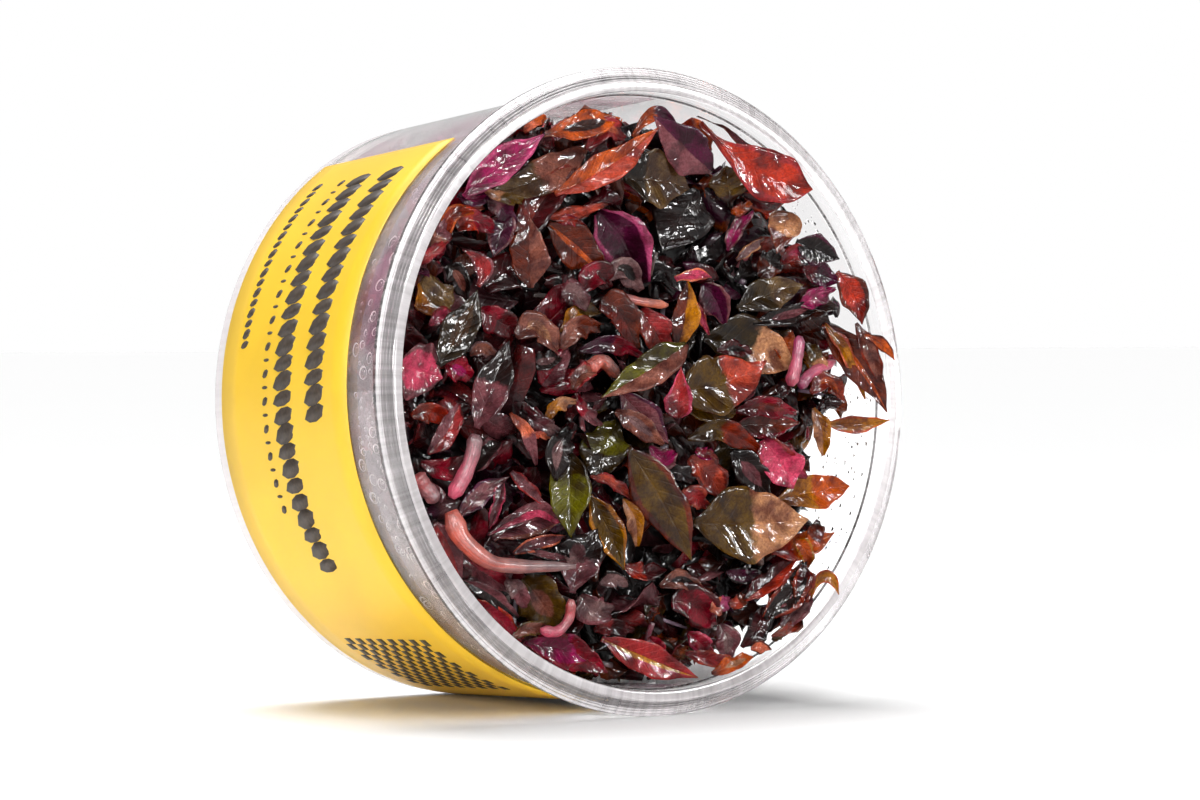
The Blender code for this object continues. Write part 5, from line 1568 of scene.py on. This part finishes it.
def small_leaf_form(kind: SmallLeaf) -> Form:
    """One small leaf along +X that faces +Z, with its stalk at the origin.

    Args:
        kind: The leaf's shape.

    Returns:
        The closed form, in metres.
    """
    steps = 7
    cross = 4
    along = np.linspace(0, 1, steps + 1)
    power = math.log(0.5) / math.log(kind.widest)
    swell = np.clip(np.sin(math.pi * along ** power), 0, 1) ** 0.8
    halves = np.maximum(0.4 - 0.28 * along, 0.5 * kind.width * swell)
    sideways = np.linspace(-1, 1, cross + 1)
    lean = math.radians(kind.fold)
    layers = []
    for face in (1, -1):
        rows = []
        for row, part in enumerate(along):
            bend = kind.curl * part
            length = 10 * (math.sin(bend) / kind.curl)
            height = 10 * (1 - math.cos(bend)) / kind.curl
            for across in sideways:
                out = across * halves[row] * math.cos(lean)
                rise = halves[row] * abs(across) * math.sin(lean)
                rise += kind.wave * across ** 2 * math.sin(7.5 * part + 2 * across + kind.width)
                rise += face * (0.12 - 0.06 * across ** 2)
                turn = math.radians(kind.twist) * part
                side = out * math.cos(turn) - rise * math.sin(turn)
                lift = out * math.sin(turn) + rise * math.cos(turn)
                rows.append((length - lift * math.sin(bend), side, height + lift * math.cos(bend)))
        layers.append(np.array(rows))
    grid = np.stack(np.meshgrid(sideways * 0.5 + 0.5, along), axis=-1).reshape(-1, 2)
    tip = np.clip((np.tile(np.repeat(along, cross + 1), 2) - 0.35) / 0.6, 0, 1)
    return Form(np.vstack(layers) * MM, blade_faces(steps, cross), np.vstack([grid, grid]), tip)


def twig_form(radius: float, curl: float) -> Form:
    """One short bent stem along +X, 10 mm long, in metres."""
    steps = 8
    corners = 7
    rows = []
    maps = []
    for step in range(steps + 1):
        part = step / steps
        bend = curl * part
        size = radius * (1 - 0.35 * part)
        for corner in range(corners):
            turn = 2 * math.pi * corner / corners
            side = size * math.cos(turn)
            lift = size * math.sin(turn)
            rows.append((10 * math.sin(bend) / curl - lift * math.sin(bend), side,
                         10 * (1 - math.cos(bend)) / curl + lift * math.cos(bend)))
            maps.append((corner / corners, part))
    faces = []
    for step in range(steps):
        low = corners * step
        for corner in range(corners):
            after = (corner + 1) % corners
            faces.append((low + corner, low + after, low + corners + after, low + corners + corner))
    faces.append(tuple(range(corners - 1, -1, -1)))
    faces.append(tuple(range(corners * steps, corners * (steps + 1))))
    maps = np.array(maps)
    return Form(np.array(rows) * MM, faces, maps, maps[:, 1])


def bead_form(rings: int, corners: int, height: float) -> Form:
    """One drop of 1 mm radius that lies on the plane z = 0, in metres."""
    rows = []
    for ring in range(rings):
        climb = math.pi / 2 * ring / rings
        for corner in range(corners):
            turn = 2 * math.pi * corner / corners
            rows.append((math.cos(climb) * math.cos(turn), math.cos(climb) * math.sin(turn),
                         height * math.sin(climb)))
    rows.append((0, 0, height))
    faces = [tuple(range(corners - 1, -1, -1))]
    for ring in range(rings - 1):
        low = ring * corners
        for corner in range(corners):
            after = (corner + 1) % corners
            faces.append((low + corner, low + after, low + corners + after, low + corners + corner))
    last = (rings - 1) * corners
    for corner in range(corners):
        faces.append((last + corner, last + (corner + 1) % corners, len(rows) - 1))
    return Form(np.array(rows) * MM, faces, np.zeros((len(rows), 2)), np.zeros(len(rows)))


def drop_highlight_form(corners: int) -> Form:
    """The rim of a drop of 1 mm radius on the plane z = 0, in metres: a painted highlight, broad on the side that
    faces the light, with a painted glint.
    """
    rows, faces = [], []
    for corner in range(corners):
        turn = 2 * math.pi * corner / corners
        # Painted highlight: the rim is broad on the side that faces the light.
        half = 0.05 + 0.15 * max(0.0, math.cos(turn - 2.2))
        for radius, height in ((1 + half, 0.0), (1.0, 0.05), (1 - half, 0.0)):
            rows.append((radius * math.cos(turn), radius * math.sin(turn), height))
        after = (corner + 1) % corners
        for side in range(3):
            beside = (side + 1) % 3
            faces.append((corner * 3 + side, after * 3 + side, after * 3 + beside, corner * 3 + beside))
    first = len(rows)
    # Painted glint: a small bright plate inside the rim.
    rows += [(-0.45, -0.45, 0.0), (-0.2, -0.5, 0.0), (-0.15, -0.25, 0.0), (-0.4, -0.2, 0.0), (-0.3, -0.35, 0.04)]
    faces += [(first + 3, first + 2, first + 1, first)]
    faces += [(first + corner, first + (corner + 1) % 4, first + 4) for corner in range(4)]
    return Form(np.array(rows) * MM, faces, np.zeros((len(rows), 2)), np.zeros(len(rows)))


def plate_form(outline: list, thickness: float) -> Form:
    """A thin flat plate with the given outline of (x, y) in millimetres, in metres."""
    count = len(outline)
    top = [(x, y, thickness) for x, y in outline]
    low = [(x, y, 0.0) for x, y in outline]
    faces = [tuple(range(count)), tuple(range(2 * count - 1, count - 1, -1))]
    for corner in range(count):
        after = (corner + 1) % count
        faces.append((corner, count + corner, count + after, after))
    return Form(np.array(top + low) * MM, faces, np.zeros((2 * count, 2)), np.zeros(2 * count))


@dataclass
class Spot:
    """One place where a pattern goes: its place, the way it faces and points, its size and its colours."""
    place: np.ndarray
    facing: np.ndarray
    forward: np.ndarray
    kind: int
    stretch: tuple
    tint: Colour = (0.5, 0.5, 0.5)
    accent: Colour = (0.5, 0.5, 0.5)


class Planter:
    """Sets copies of a few patterns on many points, with Geometry Nodes."""

    def __init__(self, name: str, forms: list) -> None:
        """Makes the patterns and the node tree."""
        self.name = name
        self.patterns = bpy.data.collections.new(name + "_patterns")
        bpy.context.scene.collection.children.link(self.patterns)
        for index, form in enumerate(forms):
            mesh = as_mesh("%s_pattern_%02d" % (name, index), form)
            outward(mesh)
            self.patterns.objects.link(bpy.data.objects.new("%s_pattern_%02d" % (name, index), mesh))
        self.tree = self.make_tree()

    def make_tree(self) -> GeometryTree:
        """Builds the tree: pick a pattern, turn it, stretch it, make it real and dress it."""
        tree = GeometryTree(self.name + "_planting")
        source = tree.input("Patterns", "Collection")
        size = tree.input("Size", "Float")
        material = tree.input("Material", "Material")
        info = tree.nodes.add("GeometryNodeCollectionInfo", {"Collection": source, "Separate Children": True,
                                                             "Reset Children": True})
        turn = tree.nodes.add("FunctionNodeEulerToRotation", {0: tree.attribute("turn", "FLOAT_VECTOR")})
        scale = tree.nodes.add("ShaderNodeVectorMath", {0: tree.attribute("stretch", "FLOAT_VECTOR")},
                               operation="SCALE")
        tree.group.links.new(size, scale.inputs["Scale"])
        placed = tree.nodes.add("GeometryNodeInstanceOnPoints", {
            "Points": tree.entry.outputs[0], "Instance": info.outputs[0], "Pick Instance": True,
            "Instance Index": tree.attribute("kind", "INT"), "Rotation": turn.outputs[0],
            "Scale": scale.outputs[0]})
        tree.end(placed.outputs[0], material)
        return tree

    def plant(self, name: str, spots: list, finish: bpy.types.Material) -> bpy.types.Object:
        """Plants the patterns and shows them as one plain piece.

        Args:
            name: The piece's name.
            spots: Where the patterns go.
            finish: The piece's material.

        Returns:
            The piece.
        """
        mesh = bpy.data.meshes.new(name + "_points")
        mesh.from_pydata([tuple(MOUTH.place(spot.place)) for spot in spots], [], [])
        turns = [self.turn_of(spot) for spot in spots]
        self.attribute(mesh, "turn", "FLOAT_VECTOR", "vector", np.array(turns))
        self.attribute(mesh, "stretch", "FLOAT_VECTOR", "vector", np.array([spot.stretch for spot in spots]))
        kinds = mesh.attributes.new("kind", "INT", "POINT")
        kinds.data.foreach_set("value", np.array([spot.kind for spot in spots], dtype=np.int32))
        self.attribute(mesh, "tint", "FLOAT_COLOR", "color", np.array([(*spot.tint, 1) for spot in spots]))
        self.attribute(mesh, "accent", "FLOAT_COLOR", "color", np.array([(*spot.accent, 1) for spot in spots]))
        grown_mesh = grown(name, mesh, self.tree, {"Patterns": self.patterns, "Size": 1.0, "Material": finish})
        return show(name, grown_mesh, finish)

    @staticmethod
    def turn_of(spot: Spot) -> tuple:
        """The turn that brings +Z to the facing and +X to the forward direction."""
        up = Vector(unit(spot.facing) @ MOUTH.axes)
        ahead = Vector(unit(spot.forward) @ MOUTH.axes)
        side = up.cross(ahead).normalized()
        ahead = side.cross(up)
        return tuple(Matrix((ahead, side, up)).transposed().to_euler())

    @staticmethod
    def attribute(mesh: bpy.types.Mesh, name: str, kind: str, field: str, values: np.ndarray) -> None:
        """Adds a named per-point attribute."""
        layer = mesh.attributes.new(name, kind, "POINT")
        layer.data.foreach_set(field, values.astype(np.float32).ravel())

    def clear(self) -> None:
        """Removes the patterns once they have been used."""
        for pattern in list(self.patterns.objects):
            bpy.data.objects.remove(pattern, do_unlink=True)
        bpy.data.collections.remove(self.patterns)


class LeafTangle:
    """The small leaves: a front layer under the large leaves, and a layer that lines the wall."""

    def __init__(self, seed: int, leaf_finish: bpy.types.Material, stem_finish: bpy.types.Material) -> None:
        """Keeps the finishes and makes the patterns."""
        self.random = np.random.default_rng(seed)
        self.leaf_finish = leaf_finish
        self.stem_finish = stem_finish
        leaf_forms = [small_leaf_form(kind) for kind in SMALL_LEAVES]
        twig_forms = [twig_form(*kind) for kind in TWIGS]
        self.leaves = Planter("small_leaf", leaf_forms)
        self.twigs = Planter("twig", twig_forms)
        self.leaf_corners = [form.points for form in leaf_forms]
        self.twig_corners = [form.points for form in twig_forms]
        self.large = self.large_leaf_points()

    @staticmethod
    def large_leaf_points() -> np.ndarray:
        """Discs over the large leaves and stems as seen: u and v on the reading plane, depth and radius."""
        blade = Blade()
        points = []
        for spec in LEAVES:
            base = np.array(spec.base)
            tip = np.array(spec.tip)
            bend = 0.5 * (base + tip) + 2 * np.array(spec.bow)
            parts = np.linspace(0.06, 0.94, 10)
            for part, half in zip(parts, blade.half_width(spec, parts)):
                middle = (1 - part) ** 2 * base + 2 * part * (1 - part) * bend + part ** 2 * tip
                points.append((*middle, max(half, 0.9)))
        for spec in LOOSE_LEAVES:
            places, _ = smooth_curve([np.array(place) for place in spec.midrib], 8)
            widths = smooth_curve([np.array([width, 0.0]) for width in spec.widths], 8)[0][:, 0]
            points += [(*place, spec.depth, max(0.5 * width, 0.6)) for place, width in zip(places, widths)]
        for spec in STEMS:
            for start, end in zip(spec.route[:-1], spec.route[1:]):
                for part in (0.0, 0.33, 0.67, 1.0):
                    points.append((*(np.array(start) * (1 - part) + np.array(end) * part), 1.4))
        return np.array(points)

    def fits(self, spot: Spot, corners: np.ndarray) -> bool:
        """Whether a planted pattern stays inside the cup and behind the large leaves.

        Args:
            spot: Where it goes.
            corners: The pattern's points, in metres.

        Returns:
            True if it may stay.
        """
        up = unit(spot.facing) @ MOUTH.axes
        ahead = unit(spot.forward) @ MOUTH.axes
        side = unit(np.cross(up, ahead))
        turn = np.array([np.cross(side, up), side, up])
        places = spot.place + (corners * np.array(spot.stretch)) @ turn @ MOUTH.axes.T / MM
        depths = places[:, 2]
        if depths.min() < 1.2 or depths.max() > 44.0:
            return False
        if (np.hypot(places[:, 0], places[:, 1]) > CUP.inner(depths) - 0.45).any():
            return False
        seen_u = places[:, 0] - SIGHT_SLOPE * (depths - READ_DEPTH)
        gap = np.hypot(self.large[:, 0, None] - seen_u, self.large[:, 1, None] - places[:, 1])
        hides = (gap < self.large[:, 3, None]) & (depths < self.large[:, 2, None] + 0.7)
        return float(hides.any(axis=0).mean()) < 0.04

    def colours_at(self, u: float, v: float) -> tuple[Colour, Colour]:
        """Draws a leaf's two colours from the nearest zone."""
        zone = min(ZONES, key=lambda item: (item.u - u) ** 2 + (item.v - v) ** 2 + self.random.uniform(0, 120))
        first = zone.colours[self.random.integers(len(zone.colours))].value
        second = zone.colours[self.random.integers(len(zone.colours))].value
        light = self.random.uniform(0.35, 1.5)
        return deepened(first, light), deepened(second, light)

    def spot(self, place: tuple, facing: np.ndarray, length: float, kinds: int, dim: float) -> Spot:
        """One small leaf's spot, pointing any way across its facing."""
        forward = unit(np.cross(facing, self.random.normal(size=3)))
        tint, accent = self.colours_at(place[0] - SIGHT_SLOPE * (place[2] - READ_DEPTH), place[1])
        size = length / 10
        stretch = (size, size * self.random.uniform(0.8, 1.3), size * self.random.uniform(0.7, 1.6))
        return Spot(np.array(place), facing, forward, int(self.random.integers(kinds)), stretch,
                    tuple(part * dim for part in tint), tuple(part * dim for part in accent))

    def front(self, count: int) -> None:
        """Fills the mouth with small leaves that stand in all directions."""
        spots = []
        while len(spots) < count:
            u, v = self.random.uniform(-43, 43, 2)
            if math.hypot(u, v) > CUP.inner_top - 1.0:
                continue
            sunk = 7.2 * self.random.uniform() ** 1.1
            depth = 5.4 + sunk + hollow(u, v)
            facing = unit(-SIGHT * 1.1 + self.random.normal(size=3) * 0.5)
            # Painted shade: leaves that lie deeper in the tangle are painted darker.
            dim = float(np.interp(sunk, (0.0, 3.0, 7.2), (0.9, 0.5, 0.2)))
            spot = self.spot((u, v, depth), facing, 5.5 + 11.0 * self.random.uniform() ** 1.5, len(SMALL_LEAVES), dim)
            if self.fits(spot, self.leaf_corners[spot.kind]):
                spots.append(spot)
        piece = self.leaves.plant("small_leaves_front", spots, self.leaf_finish)
        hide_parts("leaf_tangle")

    def edge(self, count: int) -> None:
        """Fills the ring beside the wall with smaller leaves."""
        spots = []
        while len(spots) < count:
            turn = self.random.uniform(-math.pi, math.pi)
            radius = self.random.uniform(33.0, 42.6)
            u, v = radius * math.cos(turn), radius * math.sin(turn)
            depth = self.random.uniform(4.6, 11.0) + hollow(u, v)
            facing = unit(-SIGHT + self.random.normal(size=3) * 0.45)
            spot = self.spot((u, v, depth), facing, self.random.uniform(4.0, 7.5), len(SMALL_LEAVES), 0.7)
            if self.fits(spot, self.leaf_corners[spot.kind]):
                spots.append(spot)
        piece = self.leaves.plant("small_leaves_edge", spots, self.leaf_finish)

    def stems(self, count: int) -> None:
        """Adds thin pink and brown stems that cross the front layer."""
        spots = []
        tints = (Tint.ROSE, Tint.CRIMSON, Tint.BROWN, Tint.MAUVE, Tint.MAROON)
        while len(spots) < count:
            u, v = self.random.uniform(-41, 41, 2)
            depth = self.random.uniform(4.0, 8.0) + hollow(u, v)
            facing = unit(-SIGHT + self.random.normal(size=3) * 0.3)
            forward = unit(np.cross(facing, self.random.normal(size=3)))
            size = self.random.uniform(0.5, 1.1)
            tint = tints[self.random.integers(len(tints))].value
            kind = int(self.random.integers(len(TWIGS)))
            spot = Spot(np.array((u, v, depth)), facing, forward, kind, (size, 1.0, 1.0), tint,
                        tuple(part * 0.5 for part in tint))
            if self.fits(spot, self.twig_corners[kind]):
                spots.append(spot)
        piece = self.twigs.plant("small_stems", spots, self.stem_finish)

    def wall(self, count: int) -> None:
        """Lines the wall with leaves pressed flat, clear of the open pockets."""
        spots = []
        while len(spots) < count:
            turn = self.random.uniform(-math.pi, math.pi)
            depth = self.random.uniform(wall_start(math.degrees(turn)), 43.0)
            radius = CUP.inner(depth) - self.random.uniform(0.8, 3.0)
            out = np.array([math.cos(turn), math.sin(turn), 0.0])
            facing = unit(out + self.random.normal(size=3) * 0.14)
            place = (radius * out[0], radius * out[1], depth)
            spot = self.spot(place, facing, self.random.uniform(5.0, 11.0), len(SMALL_LEAVES), 1.2)
            if self.fits(spot, self.leaf_corners[spot.kind]):
                spots.append(spot)
        piece = self.leaves.plant("small_leaves_wall", spots, self.leaf_finish)

    def heart(self) -> None:
        """Builds a lumpy closed sheet deep in the cup, painted near black as painted shade for the shaded depths of
        the tangle of leaves and stems.
        """
        rings = (0.01, 6, 12, 18, 24, 30, 35, 38.5)
        spokes = 72
        points = []
        for radius in rings:
            for spoke in range(spokes):
                turn = 2 * math.pi * spoke / spokes
                u = radius * math.cos(turn)
                v = radius * math.sin(turn)
                points.append((u, v, 12.0 + hollow(u, v) + 1.4 * math.sin(0.5 * u) * math.cos(0.6 * v)))
        for depth, radius in ((28, 39.0), (43.0, 38.5)):
            for spoke in range(spokes):
                turn = 2 * math.pi * spoke / spokes
                points.append((radius * math.cos(turn), radius * math.sin(turn), depth))
        faces = []
        for ring in range(len(rings) + 1):
            for spoke in range(spokes):
                after = (spoke + 1) % spokes
                low = ring * spokes
                faces.append((low + spoke, low + after, low + spokes + after, low + spokes + spoke))
        faces.append(tuple(range(spokes)))
        last = (len(rings) + 1) * spokes
        faces.append(tuple(range(last, last + spokes)))
        count = len(points)
        form = Form(MOUTH.place(np.array(points)), faces, np.full((count, 2), 0.3), np.zeros(count))
        mesh = as_mesh("tangle_heart_form", form)
        outward(mesh)
        # Painted shade: the sheet is painted near black to stand for the shaded depths of the tangle.
        paint(mesh, "tint", Tint.BLACK_RED.value)
        paint(mesh, "accent", tuple(part * 0.4 for part in Tint.MAROON.value))
        piece = show("tangle_heart", mesh, self.leaf_finish)

    def build(self) -> None:
        """Builds every layer."""
        self.front(760)
        self.edge(320)
        self.stems(45)
        self.wall(560)
        self.heart()
        self.leaves.clear()
        self.twigs.clear()


def wall_spot(angle: float, depth: float, radius: float, inward: bool, kind: int, stretch: tuple,
              turn: float = 0.0) -> Spot:
    """A spot on the round wall that points round it or along it.

    Args:
        angle: Degrees anticlockwise from the right.
        depth: Depth of the place.
        radius: Radius of the place.
        inward: Whether the pattern faces the axis.
        kind: Which pattern.
        stretch: The pattern's sizes.
        turn: Degrees that it is turned on the wall.

    Returns:
        The spot.
    """
    theta = math.radians(angle)
    out = np.array([math.cos(theta), math.sin(theta), 0.0])
    round_way = np.array([-math.sin(theta), math.cos(theta), 0.0])
    along = np.array([0.0, 0.0, 1.0])
    lean = math.radians(turn)
    forward = round_way * math.cos(lean) + along * math.sin(lean)
    return Spot(np.array([radius * out[0], radius * out[1], depth]), -out if inward else out, forward, kind, stretch)


class DewOnWall:
    """Drops on the inside of the wall: large ones on the left, drawn as painted highlights on their rims, and fine
    ones on the right.
    """

    def __init__(self, seed: int) -> None:
        """Makes the patterns and the finish."""
        self.random = np.random.default_rng(seed)
        self.planter = Planter("dew", [bead_form(3, 10, 0.6), bead_form(2, 8, 0.8)])
        self.finish = Dew().make("dew_skin")

    def scatter(self, name: str, count: int, angles: tuple, depths: tuple, sizes: tuple) -> None:
        """Scatters drops over one part of the wall."""
        spots = []
        for _ in range(count):
            angle = self.random.uniform(*angles)
            depth = self.random.uniform(*depths)
            size = sizes[0] + (sizes[1] - sizes[0]) * self.random.uniform() ** 3
            radius = CUP.inner(depth) - 0.06
            spots.append(wall_spot(angle, depth, radius, True, int(self.random.integers(2)),
                                   (size, size * self.random.uniform(0.8, 1.3), size * 0.7)))
        piece = self.planter.plant(name, spots, self.finish)

    def rims(self, name: str, count: int, angles: tuple, depths: tuple, sizes: tuple) -> None:
        """Scatters the painted highlights on the rims of larger drops, closer together towards the middle of the
        patch.
        """
        planter = Planter("drop_rim", [drop_highlight_form(12)])
        spots = []
        for _ in range(count):
            angle = float(np.clip(self.random.normal(sum(angles) / 2, 26), *angles))
            depth = self.random.uniform(*depths)
            size = sizes[0] + (sizes[1] - sizes[0]) * self.random.uniform() ** 2.4
            spots.append(wall_spot(angle, depth, CUP.inner(depth) - 0.005, True, 0,
                                   (size, size * self.random.uniform(0.8, 1.25), 0.6),
                                   self.random.uniform(-20, 20)))
        planter.plant(name, spots, DropHighlight().make("drop_rim_skin"))
        planter.clear()

    def build(self) -> None:
        """Builds each patch of drops."""
        self.rims("drops_left", 190, (128, 262), (3.6, 12.2), (0.18, 0.95))
        self.scatter("dew_right", 260, (-42, 2), (3.6, 15.0), (0.10, 0.42))
        self.scatter("dew_upper_right", 80, (24, 62), (3.4, 9.0), (0.10, 0.45))
        self.planter.clear()


class LabelMarks:
    """Plain printed marks on the label: rows of leaf shapes and dots, and a checker tile of squares."""
    TOP = 131.0

    def __init__(self, label: "Label") -> None:
        """Makes the patterns and the ink."""
        self.label = label
        leaf = [(0.3, -0.5), (0.5, -0.26), (0.46, 0.06), (0.22, 0.34), (-0.3, 0.5), (-0.5, 0.22), (-0.44, -0.1),
                (-0.18, -0.36)]
        bar = [(-0.5, -0.5), (0.5, -0.5), (0.5, 0.5), (-0.5, 0.5)]
        dot = [(0.5 * math.cos(turn * math.pi / 5), 0.5 * math.sin(turn * math.pi / 5)) for turn in range(10)]
        self.planter = Planter("mark", [plate_form(shape, 0.03) for shape in (leaf, bar, dot)])
        self.ink = PrintInk().make("print_ink_skin")

    def spot(self, angle: float, depth: float, kind: int, width: float, height: float) -> Spot:
        """One mark: its width lies round the wall and its height along it."""
        radius = CUP.body(depth) + self.label.gap + self.label.thickness + 0.02
        return wall_spot(angle, depth, radius, False, kind, (width, height, 1.0))

    def row(self, end: float, depth: float, height: float, pitch: float, kinds: tuple, widths: tuple) -> list:
        """A row of marks down the label.

        Args:
            end: The angle where the row ends.
            depth: The depth of its middle.
            height: The marks' height.
            pitch: Degrees from one mark to the next.
            kinds: The patterns in turn.
            widths: The marks' widths in turn.

        Returns:
            The row's spots.
        """
        spots = []
        for number in range(int((end - self.TOP) / pitch)):
            kind = kinds[number % len(kinds)]
            width = widths[number % len(widths)]
            spots.append(self.spot(self.TOP + (number + 0.5) * pitch, depth, kind, width, height))
        return spots

    def tile(self, first: float, last: float, near: float, far: float, cell: float) -> list:
        """A plain checker tile."""
        spots = []
        step = math.degrees(cell / CUP.base)
        columns = int((last - first) / step)
        rows = int((far - near) / cell)
        for column in range(columns):
            for row in range(rows):
                if (column + row) % 2 == 0:
                    spots.append(self.spot(first + (column + 0.5) * step, near + (row + 0.5) * cell, 1, cell, cell))
        return spots

    def build(self) -> None:
        """Builds all marks as one piece."""
        spots = self.row(187, 21.6, 5.6, 3.3, (0,), (3.0, 2.4, 3.2, 2.7))
        spots += self.row(214, 30.6, 5.6, 3.3, (0,), (2.7, 3.2, 2.5, 3.0, 2.4))
        spots += self.row(202, 35.9, 1.5, 2.6, (0, 2), (1.3, 0.5))
        spots += self.row(169, 43.0, 2.0, 2.1, (0,), (1.6, 1.2))
        spots += self.tile(231, 253, 20.5, 45.5, 1.5)
        piece = self.planter.plant("label_marks", spots, self.ink)
        self.planter.clear()


@dataclass(frozen=True)
class Hollow:
    """A hollow in the tangle beside the wall: its middle, its reach each way and how much deeper it is."""
    u: float
    v: float
    reach_u: float
    reach_v: float
    extra: float


HOLLOWS = (
    Hollow(38.0, -10.0, 6.5, 5.5, 11.0),
    Hollow(36.0, -24.0, 6.0, 8.0, 7.0),
    Hollow(6.0, 41.0, 6.0, 3.0, 9.0),
    Hollow(35.0, 25.0, 4.0, 5.0, 7.0),
)


def hollow(u: float, v: float) -> float:
    """How much deeper the tangle lies at a place because of the hollows."""
    return sum(item.extra * math.exp(-0.5 * (((u - item.u) / item.reach_u) ** 2 + ((v - item.v) / item.reach_v) ** 2))
               for item in HOLLOWS)


def wall_start(angle: float) -> float:
    """The depth from which leaves cover the wall, by the angle in degrees anticlockwise from the right."""
    return (6.5 + 20.0 * math.exp(-((angle + 14) / 30) ** 2) + 12.0 * math.exp(-((angle - 76) / 13) ** 2)
            + 8.0 * math.exp(-((angle - 36) / 12) ** 2))


class Glow(Enum):
    """What a lamp does: lights the surfaces, or only shows in their gloss."""
    SPREAD = "spread"
    GLOSS = "gloss"


@dataclass(frozen=True)
class Studio:
    """The plain floor, the soft lights and the camera."""
    camera_from_mouth: tuple = (-371.2, -505.7, 10.4)
    yaw: float = 35.54
    pitch: float = -1.08
    focal_pixels: float = 4300.0
    picture_width: float = 1200.0
    sensor: float = 36.0
    surround_light: float = 0.2
    surround_gloss: float = 0.06
    sweep: tuple = (0.4, 0.8)
    sweep_gloss: float = 0.55
    sparkles: tuple = ((-120, -540, 330), (160, -500, 400), (-380, -400, 180), (40, -590, 110), (-60, -420, 560),
                       (-300, -480, 380), (300, -420, 200))
    sky_strength: float = 3.05
    sky_spread: float = 38.0
    sky_aim: tuple = (-0.06, -0.3, -1.0)

    def build(self) -> None:
        """Sets the stage."""
        self.floor()
        self.world()
        self.sky_light()
        self.area("fill_left", (-620, -240, 90), 400, 1.35, Glow.SPREAD)
        self.area("fill_above", (-180, -420, 480), 300, 1.35, Glow.SPREAD)
        self.area("fill_low", (-330, -560, 60), 300, 0.6, Glow.SPREAD)
        self.area("sheen_above", (-251, -364, 471), 130, 3.4, Glow.GLOSS)
        self.area("sheen_right", (229, -540, 252), 80, 1.5, Glow.GLOSS)
        for number, place in enumerate(self.sparkles):
            self.area("sparkle_%d" % number, place, 36, 1.9, Glow.GLOSS)
        self.camera()

    def floor(self) -> None:
        """A pale matt floor."""
        mesh = bpy.data.meshes.new("floor_form")
        half = 6.0
        mesh.from_pydata([(-half, -half, 0), (half, -half, 0), (half, half, 0), (-half, half, 0)], [], [(0, 1, 2, 3)])
        material, nodes, shader = new_material("floor_paper")
        shader.inputs["Base Color"].default_value = (0.9, 0.9, 0.9, 1)
        shader.inputs["Roughness"].default_value = 0.9
        mesh.materials.append(material)
        floor = bpy.data.objects.new("floor", mesh)
        bpy.context.scene.collection.objects.link(floor)

    def world(self) -> None:
        """A white sweep behind, dim on the camera's side, and dimmer for the light it gives than for the eye."""
        world = bpy.data.worlds.new("white_surround")
        world.use_nodes = True
        nodes = Nodes(world.node_tree)
        path = nodes.add("ShaderNodeLightPath")
        inside = nodes.math("GREATER_THAN", path.outputs["Transmission Depth"], 0.5)
        direct = nodes.math("MAXIMUM", path.outputs["Is Camera Ray"], path.outputs["Is Transmission Ray"])
        direct = nodes.math("MAXIMUM", direct, inside)
        way = nodes.add("ShaderNodeTexCoord").outputs["Generated"]
        ahead = (math.sin(math.radians(self.yaw)), math.cos(math.radians(self.yaw)), 0.0)
        away = nodes.add("ShaderNodeVectorMath", {0: way, 1: ahead}, operation="DOT_PRODUCT").outputs["Value"]
        gloss = nodes.band(away, *self.sweep, self.surround_gloss, self.sweep_gloss)
        indirect = nodes.band(path.outputs["Is Glossy Ray"], 0.0, 1.0, self.surround_light, gloss)
        strength = nodes.band(direct, 0.0, 1.0, indirect, 1.0)
        background = world.node_tree.nodes["Background"]
        background.inputs["Color"].default_value = (1, 1, 1, 1)
        world.node_tree.links.new(strength, background.inputs["Strength"])
        bpy.context.scene.world = world
        bpy.context.scene.view_settings.view_transform = "Standard"

    def sky_light(self) -> None:
        """A wide soft light from above."""
        light = bpy.data.lights.new("sky_light", "SUN")
        light.energy = self.sky_strength
        light.angle = math.radians(self.sky_spread)
        lamp = bpy.data.objects.new("sky_light", light)
        lamp.rotation_euler = Vector(self.sky_aim).to_track_quat("-Z", "Y").to_euler()
        bpy.context.scene.collection.objects.link(lamp)

    @staticmethod
    def area(name: str, place: tuple, size: float, power: float, glow: "Glow") -> None:
        """A square soft light at a place in millimetres, aimed at the cup.

        Args:
            name: The light's name.
            place: Where it stands.
            size: Its side.
            power: Its power in watts.
            glow: Whether it shows as gloss or lights the surfaces.
        """
        light = bpy.data.lights.new(name, "AREA")
        light.shape = "SQUARE"
        light.size = size * MM
        light.energy = power
        lamp = bpy.data.objects.new(name, light)
        lamp.location = Vector(place) * MM
        lamp.visible_diffuse = glow is Glow.SPREAD
        lamp.visible_glossy = glow is Glow.GLOSS
        aim = (Vector((0, -25, 47)) - Vector(place)).normalized()
        lamp.rotation_euler = aim.to_track_quat("-Z", "Y").to_euler()
        bpy.context.scene.collection.objects.link(lamp)

    def camera(self) -> None:
        """The photograph's camera."""
        lens = bpy.data.cameras.new("camera")
        lens.sensor_width = self.sensor
        lens.lens = self.focal_pixels / self.picture_width * self.sensor
        lens.clip_start = 0.01
        eye = bpy.data.objects.new("camera", lens)
        eye.location = Vector(MOUTH.centre) + Vector(self.camera_from_mouth) * MM
        eye.rotation_euler = Euler((math.radians(90 + self.pitch), 0, math.radians(-self.yaw)))
        bpy.context.scene.collection.objects.link(eye)
        bpy.context.scene.camera = eye


def main() -> None:
    """Builds every sub-assembly in order."""
    logging.basicConfig(level=logging.INFO, format="%(message)s")
    Studio().build()
    ClearCup().build()
    MistOnWall().build()
    label = Label()
    label.build()
    LabelMarks(label).build()
    Gel().build()
    foliage = Foliage()
    foliage.build()
    LeafTangle(7, foliage.leaf_finish, foliage.stem_finish).build()
    DewOnWall(11).build()


if __name__ == "__main__":
    main()
